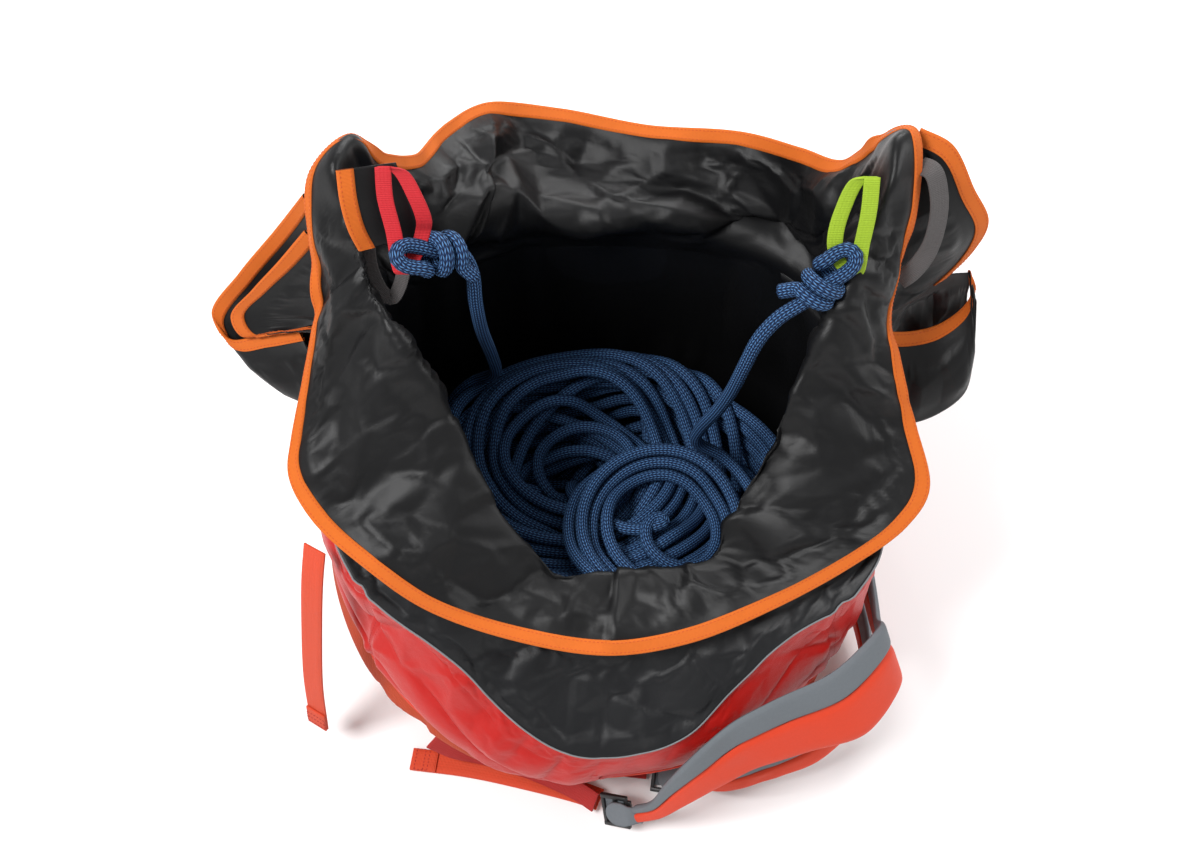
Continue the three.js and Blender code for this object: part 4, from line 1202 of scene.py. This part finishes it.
def add_grips(materials):
    left = [(-166, 50, 456), (-166, 40, 438), (-160, 31, 420), (-153, 28, 414), (-146, 32, 424),
            (-140, 41, 444)]
    right = [(226, 88, 490), (234, 78, 494), (240, 68, 480), (242, 60, 459), (239, 53, 438),
             (230, 46, 424), (221, 44, 415)]
    # Each handle: its side, its points, its width, the way it faces, and two points on the line between
    # its sewn ends.
    handles = (("left", left, 10, GRIP_LEAN, (-154.5, 44.3, 447.6), (-159.9, 40.8, 438.8)),
               ("right", right, 15, (0.3, -0.6, 0.74), (236, 67.5, 455), (239.2, 62.6, 458.9)))
    for side, points, width, facing, start, end in handles:
        grid = ribbon_grid(points, width, facing, step=2.5)
        piece = grid_piece(side + "_webbing_handle", grid, materials["grey_webbing"], thickness=1.8)
        wear_edges(piece)
        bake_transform(piece)
        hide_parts(side + "_handle")
    hem = [(-178, 55, 520), (-177, 43, 503), (-174, 35, 482), (-169, 31, 465)]
    root = [(-140, 68, 514), (-134, 60, 494), (-130, 54, 474), (-130, 48, 460)]
    grid = two_edges(root, hem, 40, 16)
    piece = grid_piece("grip_tab_cloth", grid, materials["tarp"], thickness=0.8)
    finish_piece(piece, "bag", "black_tarp", "left_grip_tab")
    edge_binding("grip_tab_hem", grid, materials, ["left_grip_tab_binding"])
    red = [(-147, 57, 521), (-147, 46, 503), (-143, 34, 482), (-138, 16, 458), (-130, 30, 462),
           (-124, 41, 474), (-122, 41, 486), (-126, 46, 502), (-136, 56, 518)]
    green = [(186, 57, 511), (186, 45, 490), (184, 35, 468), (181, 24, 447), (175, 27, 448),
             (168, 33, 456), (165, 38, 470), (168, 47, 488), (177, 57, 508)]
    for name, points, key in (("red", red, "red_loop"), ("green", green, "green_loop")):
        line = resampled(spline(points + points[:1], 12), step=2.5)[:-1]
        share = np.linspace(-0.5, 0.5, 5)[None, :, None]
        grid = line[:, None] + share * np.array((LOOP_WIDTH, 0, 0))
        webbing_piece(name + "_loop_webbing", grid, materials[key], "bag", name + "_loop_webbing",
                      [name + "_tie_in_loop"], ring=True)


# ---------------------------------------------------------------- shoulder straps
UPPER_TOP_EDGE = [(238, -36, 134), (240, -78, 130), (233, -112, 158), (226, -136, 192),
                  (186, -173, 188), (132, -198, 186), (98, -215, 176), (70, -233, 148), (53, -239, 105),
                  (42, -242, 66), (29, -238, 41)]
UPPER_LOW_EDGE = [(241, -38, 78), (248, -84, 74), (252, -126, 90), (254, -158, 124),
                  (222, -200, 122), (172, -217, 126), (132, -229, 124), (100, -240, 110), (72, -248, 82),
                  (53, -250, 52), (34, -247, 27)]
LOWER_TOP_EDGE = [(240, -36, 64), (247, -75, 60), (240, -118, 72), (214, -156, 96),
                  (184, -180, 92), (156, -196, 88), (128, -205, 78), (104, -208, 58),
                  (90, -205, 36), (80, -198, 21)]
LOWER_LOW_EDGE = [(241, -38, 18), (248, -86, 14), (244, -136, 28), (220, -176, 52),
                  (188, -202, 52), (156, -213, 50), (130, -219, 40), (110, -219, 26),
                  (96, -214, 14), (82, -206, 8)]
STRAP_THICKNESS = 6
SEAM_LIFT = 1.7
UPPER_TRIM_SHARE = 0.4  # of the strap's width
LOWER_TRIM_SHARE = 0.62


def pad_grid(top_edge, low_edge, first, last):
    """A closed pad section between two shares of the strap's width, over one face and back, with
    the points and normals midway between its faces."""
    columns, rows, across = 170, 14, 41
    strip = two_edges(top_edge, low_edge, columns, across)
    at = first + (last - first) * np.linspace(0, 1, rows)
    face = np.stack([read_off(at, np.linspace(0, 1, across), row) for row in strip])
    normal = grid_normals(face)
    s = np.linspace(0, 1, rows)
    half = STRAP_THICKNESS / 2 * (1 - np.abs(2 * s - 1) ** 5) ** 0.5 + 0.35
    c = np.linspace(0, 1, columns)[:, None]
    ripples = 0.9 * value_noise(c * 16, s[None] * 1.5, 61) * np.exp(-((c - 0.6) / 0.25) ** 2)
    over = face + normal * (half[None, :] + ripples)[..., None]
    under = face - normal * (half[None, :] - ripples)[..., None]
    return np.concatenate([over, under[:, ::-1], over[:, :1]], axis=1), face, normal


def add_shoulder_strap(name, top_edge, low_edge, trim_share, materials):
    body = name + "_strap"
    parts = (("trim", 0.0, trim_share - 0.01, "grey_strap_trim"),
             ("pad", trim_share, 1.0, "strap_fabric"))
    for part, first, last, slot in parts:
        grid, face, normal = pad_grid(top_edge, low_edge, first, last)
        piece = grid_piece(f"{name}_shoulder_{part}", grid, materials[part])
        finish_piece(piece, body, slot, f"{name}_strap_{part}")
        row = 1 if part == "pad" else -2
        line = face[:, row] + normal[:, row] * SEAM_LIFT
        rows = [(line, normal[:, row])]
        stitch_piece(f"{name}_{part}_stitches", rows, materials["red_thread"], body, slot)


# Each lock's centre, the way along it, and the way across it.
UPPER_LOCK = ((14, -237, 25), (-0.87, 0.28, -0.4), (-0.2, 0.66, 0.72))
LOWER_LOCK = ((60, -201, 10), (-0.97, 0.2, -0.1), (-0.15, 0.82, 0.35))
LOCK_LENGTH, LOCK_WIDTH, LOCK_THICKNESS = 26, 32, 4
RAIL_WIDTH, BAR_WIDTH = 4.0, 3.4


def lock_axes(along, across):
    x = unit(np.array(along, float))
    z = unit(np.cross(x, across))
    return np.stack([x, np.cross(z, x), z])


def box_points(low, high):
    return np.array([(x, y, z) for z in (low[2], high[2]) for y in (low[1], high[1])
                     for x in (low[0], high[0])], float)


BOX_FACES = [(0, 2, 3, 1), (4, 5, 7, 6), (0, 1, 5, 4), (2, 6, 7, 3), (0, 4, 6, 2), (1, 3, 7, 5)]


def add_lock(name, centre, along, across, body, nodes, materials):
    """A ladder lock: two side rails, three bars and a turned-up lip to lift it by."""
    l, w, t = LOCK_LENGTH / 2, LOCK_WIDTH / 2, LOCK_THICKNESS / 2
    bar = BAR_WIDTH / 2
    boxes = [((-l, -w, -t), (l, -w + RAIL_WIDTH, t)), ((-l, w - RAIL_WIDTH, -t), (l, w, t))]
    for x in (-l + bar, 0, l - bar):
        boxes.append(((x - bar, -w + 1, -t * 0.8), (x + bar, w - 1, t * 0.8)))
    boxes.append(((-l - 2.5, -w + 5, 0), (-l + 2, w - 5, t + 1.4)))
    points, faces = [], []
    for low, high in boxes:
        faces += [tuple(8 * len(points) + k for k in face) for face in BOX_FACES]
        points.append(box_points(low, high))
    world = np.vstack(points) @ lock_axes(along, across) + np.array(centre, float)
    piece = mesh_piece(name, world, faces, materials["plastic"])
    bevel = piece.modifiers.new("moulded_edge", "BEVEL")
    bevel.width = 0.9 * MM
    bevel.segments = 3
    finish_piece(piece, body, "lock_plastic", *nodes)


def add_locks(materials):
    for name, place in (("upper", UPPER_LOCK), ("lower", LOWER_LOCK)):
        add_lock(name + "_ladder_lock", *place, name + "_lock", [name + "_lock"], materials)
        centre, along, across = place
        axes = lock_axes(along, across)
        turn = [(-12, 0.2), (-8, 2.6), (-2, 3.4), (3, 3.4), (8, 2.6), (12, 0.2)]
        line = [np.array(centre) + x * axes[0] + z * axes[2] for x, z in turn]
        grid = ribbon_grid(line, WEBBING_WIDTH, axes[2], step=1.5)
        webbing_piece(name + "_lock_turn", grid, materials["trim"], name + "_lock", "coral_webbing",
                      [name + "_lock_webbing"], thickness=1.6)


def add_tongues(materials):
    """Each strap's rounded end, which lies over most of its lock and bends where the lock tilts."""
    for name, place in (("upper", UPPER_LOCK), ("lower", LOWER_LOCK)):
        centre, along, across = place
        axes = lock_axes(along, across)
        up = axes[2] * np.sign(axes[2][2])
        x = np.linspace(-26, 7, 50)
        tip = np.sqrt(np.clip(1 - np.maximum(0, (x + 4) / 11.2) ** 2, 0.02, 1))
        half = np.interp(x, (-26, -17, -9), (7.0, 8.5, 11.5)) * tip
        lift = 0.6 + 4.0 * smoothstep(-24, -13, x)
        y = half[:, None] * np.linspace(-1, 1, 11)
        grid = (np.array(centre, float) + x[:, None, None] * axes[0] + y[..., None] * axes[1]
                + lift[:, None, None] * up)
        piece = grid_piece(name + "_strap_tongue", grid, materials["trim"], thickness=2.4)
        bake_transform(piece)


def add_strap_webbings(materials):
    upper = [(-4, -228, 17), (-18, -218, 15), (-40, -207, 15), (-72, -194, 15), (-106, -185, 18),
             (-130, -184, 30), (-149, -180, 44)]
    tail = [(0, -222, 6), (-18, -215, 4), (-63, -203, 3), (-118, -191, 3), (-172, -184, 3)]
    lower = [(43, -193, 5), (20, -190, 4), (-10, -186, 4), (-34, -182, 5)]
    items = (("upper_strap_webbing", upper, (-0.2, -0.75, 0.63), "upper_strap", "dark_webbing"),
             ("upper_strap_tail", tail, (0, 0, 1), "upper_strap", "webbing"),
             ("lower_strap_webbing", lower, (0, 0, 1), "lower_strap", "dark_webbing"))
    for node_name, points, facing, body, key in items:
        grid = ribbon_grid(points, WEBBING_WIDTH, facing)
        webbing_piece(node_name.replace("strap", "belt"), grid, materials[key], body,
                      "coral_webbing", [node_name])
        if node_name.endswith("tail"):
            hem_end("upper_belt_tail_hem", grid, 22, body, -1, materials)
    left = [(-216, -114, 290), (-222, -126, 260), (-232, -140, 200), (-244, -154, 120),
            (-252, -164, 42)]
    right = [(196, 164, 288), (212, 176, 258), (226, 186, 200), (232, 192, 120), (234, 196, 42)]
    sides = (("left", left, (-0.5, -0.85, 0), -1), ("right", right, (0.7, 0.7, 0), 1))
    for name, points, facing, hem_side in sides:
        body = name + "_side_strap"
        grid = ribbon_grid(points, WEBBING_WIDTH, facing)
        webbing_piece(name + "_side_webbing", grid, materials["webbing"], body, "coral_webbing",
                      [body])
        hem_end(name + "_side_hem", grid, 24, body, hem_side, materials)


def add_side_locks(materials):
    for name, degrees in (("left", -142), ("right", 150)):
        angle = radians(degrees)
        centre = tub_point(angle, 240, -LOCK_THICKNESS - 3)
        add_lock(name + "_rear_lock", centre, (0, 0, 1), (cos(angle), sin(angle), 0), "bag",
                 [name + "_side_lock"], materials)


def add_anchor_patches(materials):
    for name, low, high, top in (("right", 82.5, 97.5, 1.0), ("left", -45, -37.5, 0.65)):
        angle = np.radians(np.linspace(low, high, 24))
        a, s = np.meshgrid(angle, np.linspace(0.3, top, 16), indexing="ij")
        grid = tub_point(a, base_top(a) * s, -2.2)
        webbing_piece(name + "_anchor_patch", grid, materials["dark_webbing"], "bag", "coral_webbing",
                      [name + "_strap_anchor"])


# ---------------------------------------------------------------- the whole bag
add_camera()
add_floor_and_light()
materials = make_materials()
add_rope(materials)
shell_grid = add_shell(materials)
add_rim(shell_grid, materials)
add_base(materials)
add_liner(materials)
add_skirt(shell_grid, materials)
add_tarp(materials)
for number, fold in enumerate(FOLDS):
    add_fold(*fold, 71 + 3 * number, materials)
add_grips(materials)
add_shoulder_strap("upper", UPPER_TOP_EDGE, UPPER_LOW_EDGE, UPPER_TRIM_SHARE, materials)
add_shoulder_strap("lower", LOWER_TOP_EDGE, LOWER_LOW_EDGE, LOWER_TRIM_SHARE, materials)
add_locks(materials)
add_tongues(materials)
add_strap_webbings(materials)
add_side_locks(materials)
add_anchor_patches(materials)
